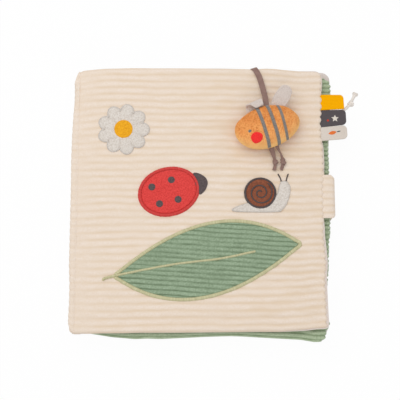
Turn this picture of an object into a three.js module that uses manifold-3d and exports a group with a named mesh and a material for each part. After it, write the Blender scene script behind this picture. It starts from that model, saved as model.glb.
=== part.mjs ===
// A padded cloth activity book, closed and lying on its back cover, in millimetres.
// +Z is up, the spine is on the -X side and the top edge of the pages is on the +Y side.
// The origin is on the outer face of the back cover, under the middle of the front cover.
// The spine is hinged to both covers, so the book opens flat and its leaves fan out.
import * as THREE from 'three';
import { mergeVertices } from 'three/addons/utils/BufferGeometryUtils.js';
import Module from 'manifold-3d';

const wasm = await Module();
wasm.setup();

// Fit between pieces; a wing or leg needs more room to swing at its seam
const CLEARANCE = 0.3;
const SEAM_GAP = 0.7;
const OVERRUN = 5;

// Covers
const COVER_WIDTH = 208;
const COVER_HEIGHT = 220;
const COVER_THICKNESS = 5;
const COVER_CORNER_RADIUS = 4;
const COVER_LOOSE_CORNER_RADIUS = 10;
const CORDUROY_WALL = 1.4;
const LINING_WALL = 0.9;
const LINING_SHOW = 0.9;
const BACK_COVER_EXTRA_WIDTH = 3.2;
const BACK_COVER_SHORTER = 1;

// Wales of the two corduroys
const CREAM_WALE_PITCH = 5.6;
const CREAM_WALE_DEPTH = 0.8;
const GREEN_WALE_PITCH = 3.85;
const GREEN_WALE_DEPTH = 0.6;
const CREAM_WALE_SHARES = [[0, 1], [0.2, 0.3], [0.5, 0], [0.8, 0.3]];
const GREEN_WALE_SHARES = [[0, 1], [0.35, 0], [0.65, 0]];
const LEAF_WALE_SHARES = [[0, 1], [0.5, 0]];

// Leaves, counted from the back cover
const LEAF_THICKNESS = 4.4;
const LEAF_HEIGHT = 218;
const LEAF_WALL = 0.9;
const LEAF_GAP = 0.4;
const LEAF_CORNER_RADIUS = 6;
const LEAF_SKEW = 10;
const LEAVES = [
  { lowerShares: [0, 0.1], upperShares: [0.1, -0.05] },
  { lowerShares: [0.1, 0.05], upperShares: [0.2, -0.1] },
  { lowerShares: [0, 0.05], upperShares: [0.85, 0.2] },
  { lowerShares: [0.27, -0.75], upperShares: [0.77, -0.55] },
];

// Ribbon that holds the bee, and the two legs cut from the same ribbon
const RIBBON_WIDTH = 4.8;
const RIBBON_THICKNESS = 1;
const RIBBON_STEPS = 36;
const RIBBON_FRONT_STEPS = 10;
const RIBBON_SECTION_SHARES = [
  [-1, -0.5], [-0.7, -1], [0.7, -1], [1, -0.5], [1, 0.5], [0.7, 1], [-0.7, 1], [-1, 0.5],
];
const RIBBON_BACK_ROUTE = [
  [48, 106.9, 31.65], [48, 107.7, 31.65], [48, 109.9, 30.7], [48, 110.9, 28.3], [48, 109.9, 25.9],
  [48, 107.6, 24.95], [48, 106.6, 24.95],
  [46.6, 103.6, 25], [39, 101.2, 25], [-20, 98, 25], [-65, 95.6, 25], [-94, 94, 25],
];
const RIBBON_FRONT_ROUTE = [
  [48, 106.55, 31.65], [48, 105.5, 31.65], [48.9, 103.8, 31.65], [50.8, 101, 31.65], [53.2, 96, 31.8],
  [54.9, 89.5, 33.6], [55.9, 83, 37], [56.3, 77.6, 39.9],
];

// Closing strap on the fore-edge
const STRAP_HEIGHT = 37;
const STRAP_MIDDLE_Y = 1.3;
const STRAP_THICKNESS = 2;
const STRAP_REACH = 8;
const STRAP_BEND_RADIUS = 4;
const STRAP_FOOT_Z = 1.2;
const STRAP_BEND_STEPS = 6;
const PATCH_THICKNESS = 0.9;
const PATCH_HEIGHT = 3;
const PATCH_LENGTH = 30;

// Tabs sewn into the fore-edge seam of the front cover
const TAB_THICKNESS = 1.6;
const TAB_GAP = 0.4;
const TAB_CORNER_RADIUS = 3.4;
const TAB_TOP_Y = 88.3;
const TABS = [
  { name: 'yellow_tab', height: 13, reach: 18, colour: 0xf9af03 },
  { name: 'charcoal_tab', height: 13.8, reach: 19.4, colour: 0x58514f },
  { name: 'pale_tab', height: 11, reach: 20.2, colour: 0xd9cdc2 },
];

// Knotted pull cord behind the tabs
const CORD_DIAMETER = 2.2;
const CORD_SIDES = 8;
const CORD_STEPS = 12;
const CORD_ROUTE = [
  [104.6, 73.5, 26], [112, 74.2, 26], [119, 74.6, 25.8], [123.5, 76.4, 25.2], [128, 80.6, 24.2],
];
const KNOT_LENGTH = 6;
const KNOT_WIDTH = 4.6;
const KNOT_TURN = 50;
const CORD_TAIL_ROUTE = [
  [130.4, 82.9, 23.8], [132.4, 86.4, 23.3], [133.2, 90, 22.8], [133, 92.6, 22.4],
];
const CORD_TAIL_WIDTHS = [2.2, 2.4, 3, 3.8];
const CORD_TAIL_STEPS = 5;

// Bee
const BEE_LENGTH = 55;
const BEE_WIDTH = 36.4;
const BEE_THICKNESS = 18;
const BEE_X = 57.2;
const BEE_Y = 57.9;
const BEE_TURN = 13;
const BEE_TAPER_SHARE = 0.12;
const BEE_FLAT_SHARE = 0.94;
const BEE_RINGS = 12;
const BEE_RING_POINTS = 32;
const STRIPE_WIDTH = 2.6;
const STRIPE_THICKNESS = 0.7;
const STRIPE_PLACE_SHARES = [-0.14, 0.18, 0.48];
const STRIPE_LEAN = 4;
const CHEEK_WIDTH = 9.8;
const CHEEK_HEIGHT = 8.6;
const CHEEK_PLACE_SHARES = [-0.42, -0.49];
const EYE_DIAMETER = 2.6;
const EYE_PLACE_SHARES = [-0.58, -0.135];
const EYE_THICKNESS = 0.9;
const WING_LENGTH = 21;
const WING_WIDTH = 15.5;
const WING_THICKNESS = 1.6;
const WING_BULGE_SHARES = [0.62, 0.72];
const WING_STEPS = 10;
const RIGHT_WING_TURN = 62;
const RIGHT_WING_PLACE_SHARES = [0.38, 0.8];
const RIGHT_WING_RISE = 14;
const LEFT_WING_TURN = 203;
const LEFT_WING_LENGTH = 17;
const LEFT_WING_CURL_RADIUS = 3.8;
const LEFT_WING_CURL_ANGLE = 200;
const LEFT_WING_CURL_STEPS = 12;
const LEFT_WING_PLACE_SHARES = [-0.02, 1.04];
const LEFT_WING_LIFT = 1.5;
const LEG_ROUTES = [
  { name: 'left_leg', knot: [63.8, 28.9, 32.6],
    route: [[60.2, 42.6, 37], [61, 38.8, 34.6], [62.6, 34, 32.4], [63.7, 29.6, 31.8], [62.8, 22.8, 31.7]] },
  { name: 'right_leg', knot: [70.2, 29.2, 32.6],
    route: [[64.9, 43.9, 37], [66.6, 39.6, 34.8], [68.9, 35, 32.6], [70.2, 29.8, 31.8], [68.7, 22.8, 31.7]] },
];
const LEG_WIDTHS = [4.6, 3.8, 2.7, 3, 4.2];
const LEG_STEPS = 12;
const LEG_KNOT_LENGTH = 5.4;
const LEG_KNOT_WIDTH = 4.6;
const LEG_KNOT_THICKNESS = 2.7;

// Applied cloth shapes on the front cover
const PATCH_CLOTH = 1.2;
const BORDER_WIDTH = 2.9;
const BORDER_HEIGHT = 1.5;
const BORDER_STEPS = 12;
const LEAF_PATCH = { x: 8, y: -52, turn: 10, length: 150, height: 58, bulgeShare: 0.98, waleTurn: -14 };
const LEAF_VEIN_WIDTH = 2.6;
const LEAF_STALK = 13;
const LADYBIRD = { x: -24, y: 5, turn: 16, length: 46, height: 36 };
const LADYBIRD_HEAD_SHARES = { x: 0.47, width: 0.3, height: 0.58 };
const LADYBIRD_SPOT_DIAMETER = 6;
const LADYBIRD_SPOT_SHARES = [[-0.27, 0.2], [-0.22, -0.22], [0.1, 0.24], [0.12, -0.24]];
const DAISY = { x: -62, y: 58, diameter: 43, petals: 9, dipShare: 0.24, centreShare: 0.36 };
const SNAIL = { x: 53, y: -2, length: 46, shellShare: 0.52, shellShares: [-0.04, 0.12] };
const SNAIL_OUTLINE_SHARES = [
  [-0.52, -0.2], [-0.3, -0.08], [0.1, -0.04], [0.26, 0.1], [0.3, 0.3], [0.27, 0.48], [0.33, 0.34],
  [0.38, 0.34], [0.45, 0.47], [0.44, 0.32], [0.5, 0.22], [0.46, 0.02], [0.36, -0.16], [0.2, -0.22],
];
const CIRCLE_POINTS = 32;

// Colours
const CREAM = 0xe8d7c0;
const LINING = 0xe6dcd4;
const GREEN = 0x8c9d80;
const SAGE = 0xc4c49a;
const RED = 0xe44743;
const CHARCOAL = 0x5a4d4b;
const PALE_GREY = 0xdcd3cb;
const BROWN = 0x86492d;
const YELLOW = 0xf9af03;
const ORANGE = 0xe59b57;
const STRIPE_GREY = 0x73706a;
const TAUPE = 0x93746b;
const WING_GREY = 0xcdbeb5;
const WADDING = 0xf4f3ef;
const PAGE_COLOURS = [0xe9dfd2, 0xdfe3da, 0xe6dcd4, GREEN];

// Places worked out from the sizes above
const COVER_LEFT = -COVER_WIDTH / 2;
const COVER_RIGHT = COVER_WIDTH / 2;
const COVER_TOP = COVER_HEIGHT / 2;
const BACK_COVER_Z = COVER_THICKNESS / 2;
const LEAF_PITCH = LEAF_THICKNESS + LEAF_GAP;
const FIRST_LEAF_Z = COVER_THICKNESS + LEAF_GAP + LEAF_THICKNESS / 2;
const LAST_LEAF_Z = FIRST_LEAF_Z + (LEAVES.length - 1) * LEAF_PITCH;
const RIBBON_SPACE = RIBBON_THICKNESS + 2 * CLEARANCE;
const FRONT_COVER_Z = LAST_LEAF_Z + LEAF_THICKNESS / 2 + RIBBON_SPACE + COVER_THICKNESS / 2;
const FRONT_COVER_FACE_Z = FRONT_COVER_Z + COVER_THICKNESS / 2;
const SPINE_X = COVER_LEFT + COVER_THICKNESS / 2;
const SPINE_BREADTH = FRONT_COVER_Z - BACK_COVER_Z - COVER_THICKNESS - 2 * CLEARANCE;
const LEAF_LEFT = COVER_LEFT + COVER_THICKNESS + CLEARANCE;
const APPLIED_Z = FRONT_COVER_FACE_Z + CLEARANCE;
const BEE_Z = FRONT_COVER_FACE_Z + CLEARANCE + BEE_THICKNESS / 2 * BEE_FLAT_SHARE;

const book = new THREE.Group();
const X_AXIS = new THREE.Vector3(1, 0, 0);
const Y_AXIS = new THREE.Vector3(0, 1, 0);
const Z_AXIS = new THREE.Vector3(0, 0, 1);
const radians = THREE.MathUtils.degToRad;

// One named piece of the book in its own cloth
function addPiece(name, geometry, colour, roughness = 0.9) {
  const material = new THREE.MeshStandardMaterial({ color: colour, roughness, metalness: 0 });
  const mesh = new THREE.Mesh(geometry, material);
  mesh.name = name;
  book.add(mesh);
  return mesh;
}

// Closed geometry to a solid that can be cut and joined, and back
function toSolid(geometry) {
  const bare = geometry.clone();
  bare.deleteAttribute('normal');
  bare.deleteAttribute('uv');
  const merged = mergeVertices(bare, 1e-5);
  return new wasm.Manifold(new wasm.Mesh({
    numProp: 3,
    vertProperties: new Float32Array(merged.attributes.position.array),
    triVerts: new Uint32Array(merged.index.array),
  }));
}

function toGeometry(solid) {
  const mesh = solid.getMesh();
  const geometry = new THREE.BufferGeometry();
  geometry.setAttribute('position', new THREE.BufferAttribute(mesh.vertProperties, 3));
  geometry.setIndex(new THREE.BufferAttribute(mesh.triVerts, 1));
  return geometry;
}

// Skin over a row of closed rings with the same number of points, capped at both ends
function loft(rings) {
  const count = rings[0].length;
  const positions = rings.flat().flatMap((point) => [point.x, point.y, point.z]);
  const index = [];
  for (let ring = 0; ring < rings.length - 1; ring += 1) {
    for (let i = 0; i < count; i += 1) {
      const a = ring * count + i;
      const b = ring * count + (i + 1) % count;
      index.push(a, b, b + count, a, b + count, a + count);
    }
  }
  const last = (rings.length - 1) * count;
  for (let i = 1; i < count - 1; i += 1) {
    index.push(0, i + 1, i, last, last + i, last + i + 1);
  }
  const geometry = new THREE.BufferGeometry();
  geometry.setAttribute('position', new THREE.BufferAttribute(new Float32Array(positions), 3));
  geometry.setIndex(enclosedVolume(rings.flat(), index) < 0 ? index.reverse() : index);
  return geometry;
}

// Volume inside a closed skin, below zero where its faces point inwards
function enclosedVolume(points, index) {
  let volume = 0;
  for (let i = 0; i < index.length; i += 3) {
    const [a, b, c] = [points[index[i]], points[index[i + 1]], points[index[i + 2]]];
    volume += a.dot(b.clone().cross(c)) / 6;
  }
  return volume;
}

// Outline through corners, counter-clockwise, each corner rounded with its own radius
function roundedOutline(corners, radii, steps = 4) {
  const points = [];
  corners.forEach((corner, i) => {
    const before = corners[(i + corners.length - 1) % corners.length].clone().sub(corner).normalize();
    const after = corners[(i + 1) % corners.length].clone().sub(corner).normalize();
    const half = Math.acos(before.dot(after)) / 2;
    const middle = before.clone().add(after).normalize();
    const centre = corner.clone().addScaledVector(middle, radii[i] / Math.sin(half));
    const from = corner.clone().addScaledVector(before, radii[i] / Math.tan(half)).sub(centre);
    const sweep = Math.PI - 2 * half;
    for (let step = 0; step <= steps; step += 1) {
      points.push(from.clone().rotateAround(new THREE.Vector2(), sweep * step / steps).add(centre));
    }
  });
  return points;
}

// The same outline moved inwards, or outwards where inset is below zero
function insetOutline(points, inset) {
  return points.map((point, i) => {
    const before = point.clone().sub(points[(i + points.length - 1) % points.length]).normalize();
    const after = points[(i + 1) % points.length].clone().sub(point).normalize();
    const inwards = new THREE.Vector2(-before.y - after.y, before.x + after.x).normalize();
    const spread = inwards.dot(new THREE.Vector2(-before.y, before.x));
    return point.clone().addScaledVector(inwards, inset / spread);
  });
}

// Rings of a padded edge: half round, from angle to angle in degrees above the seam
function edgeRings(outline, radius, inset, z, fromAngle, toAngle, steps = 3) {
  const rings = [];
  for (let step = 0; step <= steps; step += 1) {
    const angle = radians(fromAngle + (toAngle - fromAngle) * step / steps);
    const ring = insetOutline(outline, inset + radius * (1 - Math.cos(angle)));
    rings.push(ring.map((point) => new THREE.Vector3(point.x, point.y, z + radius * Math.sin(angle))));
  }
  return rings;
}

// Half of a padded panel's skin: an open tray whose rim lies at the seam, side 1 up or -1 down
function traySkin(outline, thickness, wall, side) {
  const outerRadius = thickness / 2 - CLEARANCE / 2;
  const innerRadius = outerRadius - wall;
  const rim = side * CLEARANCE / 2;
  const inside = edgeRings(outline, innerRadius, wall, rim, side * 90, 0, 1);
  const outside = edgeRings(outline, outerRadius, 0, rim, 0, side * 90);
  return loft([...inside, ...outside]);
}

// Wadding that fills a padded panel inside its two skins
function paddingSlab(outline, thickness, upperWall, lowerWall) {
  const top = thickness / 2 - upperWall - CLEARANCE;
  const bottom = thickness / 2 - lowerWall - CLEARANCE;
  const inset = Math.max(upperWall, lowerWall) + CLEARANCE;
  return loft([
    ...edgeRings(outline, bottom, inset, 0, -90, 0, 1),
    ...edgeRings(outline, top, inset, 0, 0, 90, 1).slice(1),
  ]);
}

// A block whose upper face has corduroy wales running along X, with their crests at height top;
// the shares give points across one wale and how deep each one lies
function waleBlock(width, height, bottom, top, pitch, depth, shares) {
  const count = Math.ceil(height / pitch);
  const start = -count * pitch / 2;
  const profile = new THREE.Shape();
  profile.moveTo(start + count * pitch, bottom);
  for (let wale = count - 1; wale >= 0; wale -= 1) {
    for (const [across, deep] of [...shares].reverse()) {
      profile.lineTo(start + (wale + across) * pitch, top - depth * deep);
    }
  }
  profile.lineTo(start, bottom);
  const block = new THREE.ExtrudeGeometry(profile, { depth: width, bevelEnabled: false });
  block.applyMatrix4(new THREE.Matrix4().makeBasis(Y_AXIS, Z_AXIS, X_AXIS));
  return block.translate(-width / 2, 0, 0);
}

function withWales(geometry, width, height, top, pitch, depth, shares, turn = 0) {
  const block = waleBlock(width, height, top - COVER_THICKNESS, top, pitch, depth, shares);
  block.rotateZ(radians(turn));
  return toGeometry(toSolid(geometry).intersect(toSolid(block)));
}

// Flat cloth shape with an optional hole of the same kind
function plate(points, depth, hole) {
  const shape = new THREE.Shape(points);
  if (hole) {
    shape.holes.push(new THREE.Path(hole));
  }
  return new THREE.ExtrudeGeometry(shape, { depth, bevelEnabled: false });
}

function ellipsePoints(width, height, count = CIRCLE_POINTS) {
  const curve = new THREE.EllipseCurve(0, 0, width / 2, height / 2);
  return curve.getPoints(count).slice(0, count);
}

// Flat strip along a route, its width given at each point of the route; it starts with its width along X
function ribbonStrip(route, widths, thickness, steps) {
  const curve = new THREE.CatmullRomCurve3(route.map((point) => new THREE.Vector3(...point)));
  const side = X_AXIS.clone();
  const rings = [];
  for (let step = 0; step <= steps; step += 1) {
    const along = step / steps;
    const place = curve.getPoint(along);
    const tangent = curve.getTangent(along);
    side.addScaledVector(tangent, -side.dot(tangent)).normalize();
    const up = side.clone().cross(tangent);
    const slot = Math.min(Math.floor(along * (widths.length - 1)), widths.length - 2);
    const width = THREE.MathUtils.lerp(widths[slot], widths[slot + 1], along * (widths.length - 1) - slot);
    rings.push(RIBBON_SECTION_SHARES.map(([across, through]) => place.clone()
      .addScaledVector(side, across * width / 2)
      .addScaledVector(up, through * thickness / 2)));
  }
  return loft(rings);
}

// Rounded lump, such as a knot
function lump(length, width, thickness, place, turn) {
  const ball = new THREE.SphereGeometry(1, 10, 6);
  ball.scale(length / 2, width / 2, thickness / 2);
  ball.rotateZ(radians(turn));
  return ball.translate(...place);
}

function joined(...geometries) {
  return toGeometry(geometries.map(toSolid).reduce((whole, piece) => whole.add(piece)));
}

function cut(geometry, ...tools) {
  return toGeometry(tools.map(toSolid).reduce((whole, tool) => whole.subtract(tool), toSolid(geometry)));
}

// Both covers and every leaf: two skins sewn at the edge over a sheet of wadding
function panelOutline(left, lowerRight, upperRight, bottom, top, radii) {
  const corners = [
    new THREE.Vector2(left, bottom), lowerRight, upperRight, new THREE.Vector2(left, top),
  ];
  return roundedOutline(corners, radii);
}

function addFrontCover() {
  const lowerRight = new THREE.Vector2(COVER_RIGHT, -COVER_TOP);
  const upperRight = new THREE.Vector2(COVER_RIGHT, COVER_TOP);
  const radii = [COVER_CORNER_RADIUS, COVER_LOOSE_CORNER_RADIUS, COVER_CORNER_RADIUS, COVER_CORNER_RADIUS];
  const outline = panelOutline(COVER_LEFT, lowerRight, upperRight, -COVER_TOP, COVER_TOP, radii);
  const face = traySkin(outline, COVER_THICKNESS, CORDUROY_WALL, 1);
  const ribbed = withWales(face, COVER_WIDTH + OVERRUN, COVER_HEIGHT + OVERRUN, COVER_THICKNESS / 2,
    CREAM_WALE_PITCH, CREAM_WALE_DEPTH, CREAM_WALE_SHARES);
  const liningCorner = new THREE.Vector2(COVER_RIGHT + LINING_SHOW / 2, -COVER_TOP);
  const liningOutline = panelOutline(COVER_LEFT, liningCorner, upperRight, -COVER_TOP, COVER_TOP, radii);
  const lining = traySkin(liningOutline, COVER_THICKNESS, LINING_WALL, -1);
  const wadding = paddingSlab(outline, COVER_THICKNESS, CORDUROY_WALL, LINING_WALL);
  addPiece('front_cover_corduroy', ribbed, CREAM).position.z = FRONT_COVER_Z;
  addPiece('front_cover_lining', lining, LINING).position.z = FRONT_COVER_Z;
  addPiece('front_cover_wadding', wadding, WADDING).position.z = FRONT_COVER_Z;
}

function addBackCover() {
  const right = COVER_RIGHT + BACK_COVER_EXTRA_WIDTH;
  const bottom = BACK_COVER_SHORTER - COVER_TOP;
  const radii = Array(4).fill(COVER_CORNER_RADIUS);
  const lowerRight = new THREE.Vector2(right, bottom);
  const upperRight = new THREE.Vector2(right, COVER_TOP);
  const outline = panelOutline(COVER_LEFT, lowerRight, upperRight, bottom, COVER_TOP, radii);
  addPiece('back_cover_corduroy', traySkin(outline, COVER_THICKNESS, CORDUROY_WALL, -1), CREAM)
    .position.z = BACK_COVER_Z;
  addPiece('back_cover_lining', traySkin(outline, COVER_THICKNESS, LINING_WALL, 1), LINING)
    .position.z = BACK_COVER_Z;
  addPiece('back_cover_wadding', paddingSlab(outline, COVER_THICKNESS, LINING_WALL, CORDUROY_WALL), WADDING)
    .position.z = BACK_COVER_Z;
}

function addLeaf(leaf, number) {
  const z = FIRST_LEAF_Z + (number - 1) * LEAF_PITCH;
  const top = LEAF_HEIGHT / 2;
  const shifted = (shares, y) => new THREE.Vector2(
    COVER_RIGHT + LEAF_SKEW * shares[0],
    y + LEAF_SKEW * shares[1],
  );
  const outline = panelOutline(LEAF_LEFT, shifted(leaf.lowerShares, -top), shifted(leaf.upperShares, top),
    -top, top, Array(4).fill(LEAF_CORNER_RADIUS));
  const isCorduroy = number === LEAVES.length;
  let face = traySkin(outline, LEAF_THICKNESS, LEAF_WALL, 1);
  if (isCorduroy) {
    face = withWales(face, COVER_WIDTH + 2 * LEAF_SKEW, LEAF_HEIGHT + 2 * LEAF_SKEW, LEAF_THICKNESS / 2,
      GREEN_WALE_PITCH, GREEN_WALE_DEPTH, LEAF_WALE_SHARES);
  }
  addPiece(`leaf_${number}_front`, face, PAGE_COLOURS[number - 1]).position.z = z;
  addPiece(`leaf_${number}_back`, traySkin(outline, LEAF_THICKNESS, LEAF_WALL, -1), LINING).position.z = z;
  addPiece(`leaf_${number}_wadding`, paddingSlab(outline, LEAF_THICKNESS, LEAF_WALL, LEAF_WALL), WADDING)
    .position.z = z;
}

// Spine: the same build as a cover, stood on edge between the two covers
function addSpine() {
  const half = SPINE_BREADTH / 2;
  const corners = [
    new THREE.Vector2(-half, -COVER_TOP), new THREE.Vector2(half, -COVER_TOP),
    new THREE.Vector2(half, COVER_TOP), new THREE.Vector2(-half, COVER_TOP),
  ];
  const outline = roundedOutline(corners, Array(4).fill(COVER_CORNER_RADIUS));
  const pieces = [
    addPiece('spine_corduroy', traySkin(outline, COVER_THICKNESS, CORDUROY_WALL, -1), CREAM),
    addPiece('spine_lining', traySkin(outline, COVER_THICKNESS, LINING_WALL, 1), LINING),
    addPiece('spine_wadding', paddingSlab(outline, COVER_THICKNESS, LINING_WALL, CORDUROY_WALL), WADDING),
  ];
  for (const piece of pieces) {
    piece.rotation.y = Math.PI / 2;
    piece.position.set(SPINE_X, 0, (BACK_COVER_Z + FRONT_COVER_Z) / 2);
  }
}

// Strap sewn to the front cover that turns down over the fore-edge to a hook-and-loop fastening
function addStrap() {
  const left = COVER_RIGHT + CLEARANCE;
  const right = COVER_RIGHT + CLEARANCE + STRAP_REACH;
  const top = FRONT_COVER_Z + STRAP_THICKNESS / 2;
  const under = top - STRAP_THICKNESS;
  const rootRadius = STRAP_THICKNESS / 2;
  const innerRadius = STRAP_BEND_RADIUS - STRAP_THICKNESS;
  const profile = new THREE.Shape();
  profile.moveTo(left + rootRadius, under);
  profile.absarc(left + rootRadius, FRONT_COVER_Z, rootRadius, -Math.PI / 2, Math.PI / 2, true);
  const bend = [right - STRAP_BEND_RADIUS, top - STRAP_BEND_RADIUS];
  profile.absarc(...bend, STRAP_BEND_RADIUS, Math.PI / 2, 0, true);
  profile.absarc(right - rootRadius, STRAP_FOOT_Z + rootRadius, rootRadius, 0, -Math.PI, true);
  profile.absarc(...bend, innerRadius, 0, Math.PI / 2, false);
  const settings = { depth: STRAP_HEIGHT, bevelEnabled: false, curveSegments: STRAP_BEND_STEPS };
  const strap = new THREE.ExtrudeGeometry(profile, settings);
  strap.rotateX(Math.PI / 2).translate(0, STRAP_MIDDLE_Y + STRAP_HEIGHT / 2, 0);
  addPiece('closing_strap', strap, CREAM);

  const patchZ = STRAP_FOOT_Z + PATCH_HEIGHT / 2;
  const strapFace = right - STRAP_THICKNESS - CLEARANCE;
  const backEdge = COVER_RIGHT + BACK_COVER_EXTRA_WIDTH + CLEARANCE;
  const loop = new THREE.BoxGeometry(PATCH_THICKNESS, PATCH_LENGTH, PATCH_HEIGHT);
  const hookThickness = strapFace - backEdge - PATCH_THICKNESS - CLEARANCE;
  const hook = new THREE.BoxGeometry(hookThickness, PATCH_LENGTH, PATCH_HEIGHT);
  addPiece('strap_hook_patch', hook, PALE_GREY)
    .position.set(strapFace - hookThickness / 2, STRAP_MIDDLE_Y, patchZ);
  addPiece('back_cover_loop_patch', loop, PALE_GREY)
    .position.set(backEdge + PATCH_THICKNESS / 2, STRAP_MIDDLE_Y, patchZ);
}

function addTabs() {
  let top = TAB_TOP_Y;
  for (const tab of TABS) {
    const bottom = top - tab.height;
    const left = COVER_RIGHT + LINING_SHOW / 2 + CLEARANCE;
    const right = left + tab.reach;
    const corners = [
      new THREE.Vector2(left, bottom), new THREE.Vector2(right, bottom),
      new THREE.Vector2(right, top), new THREE.Vector2(left, top),
    ];
    const radii = [CLEARANCE, TAB_CORNER_RADIUS, TAB_CORNER_RADIUS, CLEARANCE];
    const cloth = plate(roundedOutline(corners, radii), TAB_THICKNESS);
    addPiece(tab.name, cloth, tab.colour).position.z = FRONT_COVER_Z - TAB_THICKNESS / 2;
    top = bottom - TAB_GAP;
  }
}

function addPullCord() {
  const curve = new THREE.CatmullRomCurve3(CORD_ROUTE.map((point) => new THREE.Vector3(...point)));
  const section = new THREE.Shape(ellipsePoints(CORD_DIAMETER, CORD_DIAMETER, CORD_SIDES));
  const settings = { steps: CORD_STEPS, extrudePath: curve, bevelEnabled: false };
  const cord = new THREE.ExtrudeGeometry(section, settings);
  const end = new THREE.Vector3(...CORD_ROUTE[CORD_ROUTE.length - 1]);
  const start = new THREE.Vector3(...CORD_TAIL_ROUTE[0]);
  const middle = end.clone().lerp(start, 0.5).toArray();
  const knot = joined(
    lump(KNOT_LENGTH, KNOT_WIDTH, KNOT_WIDTH, middle, KNOT_TURN),
    lump(KNOT_WIDTH, KNOT_LENGTH, KNOT_WIDTH, middle, KNOT_TURN),
    ribbonStrip(CORD_TAIL_ROUTE, CORD_TAIL_WIDTHS, CORD_DIAMETER, CORD_TAIL_STEPS),
  );
  const roomSize = KNOT_LENGTH + 2 * CLEARANCE;
  const room = lump(roomSize, roomSize, KNOT_WIDTH + 2 * CLEARANCE, middle, KNOT_TURN);
  addPiece('pull_cord', cut(cord, room), WADDING);
  addPiece('pull_cord_knot', knot, WADDING);
}

// Stuffed body of the bee, swollen by grow all round; it tapers towards the tail
function beeBody(grow) {
  const halfLength = BEE_LENGTH / 2 + grow;
  const halfWidth = BEE_WIDTH / 2 + grow;
  const halfThickness = BEE_THICKNESS / 2 + grow;
  const rings = [];
  for (let ring = 0; ring <= BEE_RINGS; ring += 1) {
    const level = -Math.cos(Math.PI * ring / BEE_RINGS) * BEE_FLAT_SHARE;
    const size = Math.sqrt(1 - level * level);
    rings.push(ellipsePoints(2 * halfLength * size, 2 * halfWidth * size, BEE_RING_POINTS).map((point) => {
      const taper = 1 - BEE_TAPER_SHARE * point.x / halfLength;
      return new THREE.Vector3(point.x, point.y * taper, level * halfThickness);
    }));
  }
  const body = loft(rings);
  body.rotateZ(radians(BEE_TURN));
  return body.translate(BEE_X, BEE_Y, BEE_Z);
}

// Place on the bee from shares of its half length and half width
function beePlace([alongShare, acrossShare]) {
  return new THREE.Vector2(alongShare * BEE_LENGTH / 2, acrossShare * BEE_WIDTH / 2)
    .rotateAround(new THREE.Vector2(), radians(BEE_TURN))
    .add(new THREE.Vector2(BEE_X, BEE_Y));
}

// Thin piece sewn on the front of the bee, as far as the upright column of its outline reaches
function beeSkinPiece(column, thickness) {
  const upperShell = toSolid(beeBody(CLEARANCE + thickness)).subtract(toSolid(beeBody(CLEARANCE)));
  return toGeometry(upperShell.intersect(toSolid(column)));
}

// Upright slab through the bee that a stripe follows, wider by extra on each side
function stripeSlab(share, extra) {
  const stripe = new THREE.BoxGeometry(STRIPE_WIDTH + 2 * extra, BEE_WIDTH + OVERRUN, BEE_THICKNESS);
  const place = beePlace([share, 0]);
  stripe.rotateZ(radians(BEE_TURN + STRIPE_LEAN));
  return stripe.translate(place.x, place.y, BEE_Z + BEE_THICKNESS / 2 + CLEARANCE - extra);
}

// Everything that a wing, leg or ribbon has to stay out of, with a gap: the bee's body and stripes
function beeRoom(gap) {
  const overStripes = toSolid(beeBody(CLEARANCE + STRIPE_THICKNESS + gap));
  return STRIPE_PLACE_SHARES
    .map((share) => overStripes.intersect(toSolid(stripeSlab(share, gap))))
    .reduce((whole, slab) => whole.add(slab), toSolid(beeBody(gap)));
}

function cutByBee(geometry, gap) {
  return toGeometry(toSolid(geometry).subtract(beeRoom(gap)));
}

function addBeeFace() {
  const column = (points, place, turn) => {
    const shape = plate(points, BEE_THICKNESS);
    shape.rotateZ(radians(turn));
    return shape.translate(place.x, place.y, BEE_Z + CLEARANCE);
  };
  STRIPE_PLACE_SHARES.forEach((share, i) => {
    addPiece(`bee_stripe_${i + 1}`, beeSkinPiece(stripeSlab(share, 0), STRIPE_THICKNESS), STRIPE_GREY);
  });
  const cheek = column(ellipsePoints(CHEEK_WIDTH, CHEEK_HEIGHT), beePlace(CHEEK_PLACE_SHARES), BEE_TURN);
  addPiece('bee_cheek', beeSkinPiece(cheek, STRIPE_THICKNESS), RED);
  const eye = column(ellipsePoints(EYE_DIAMETER, EYE_DIAMETER, 12), beePlace(EYE_PLACE_SHARES), 0);
  addPiece('bee_eye', beeSkinPiece(eye, EYE_THICKNESS), CHARCOAL);
}

// Petal outline of a wing, root at the origin and tip towards +X
function wingOutline(length, width) {
  const [rootBulge, tipBulge] = WING_BULGE_SHARES.map((share) => share * width);
  const shape = new THREE.Shape();
  shape.moveTo(0, -width / 4);
  shape.bezierCurveTo(length / 4, -rootBulge, length, -tipBulge, length, 0);
  shape.bezierCurveTo(length, tipBulge, length / 4, rootBulge, 0, width / 4);
  return shape.getPoints(WING_STEPS);
}

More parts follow.
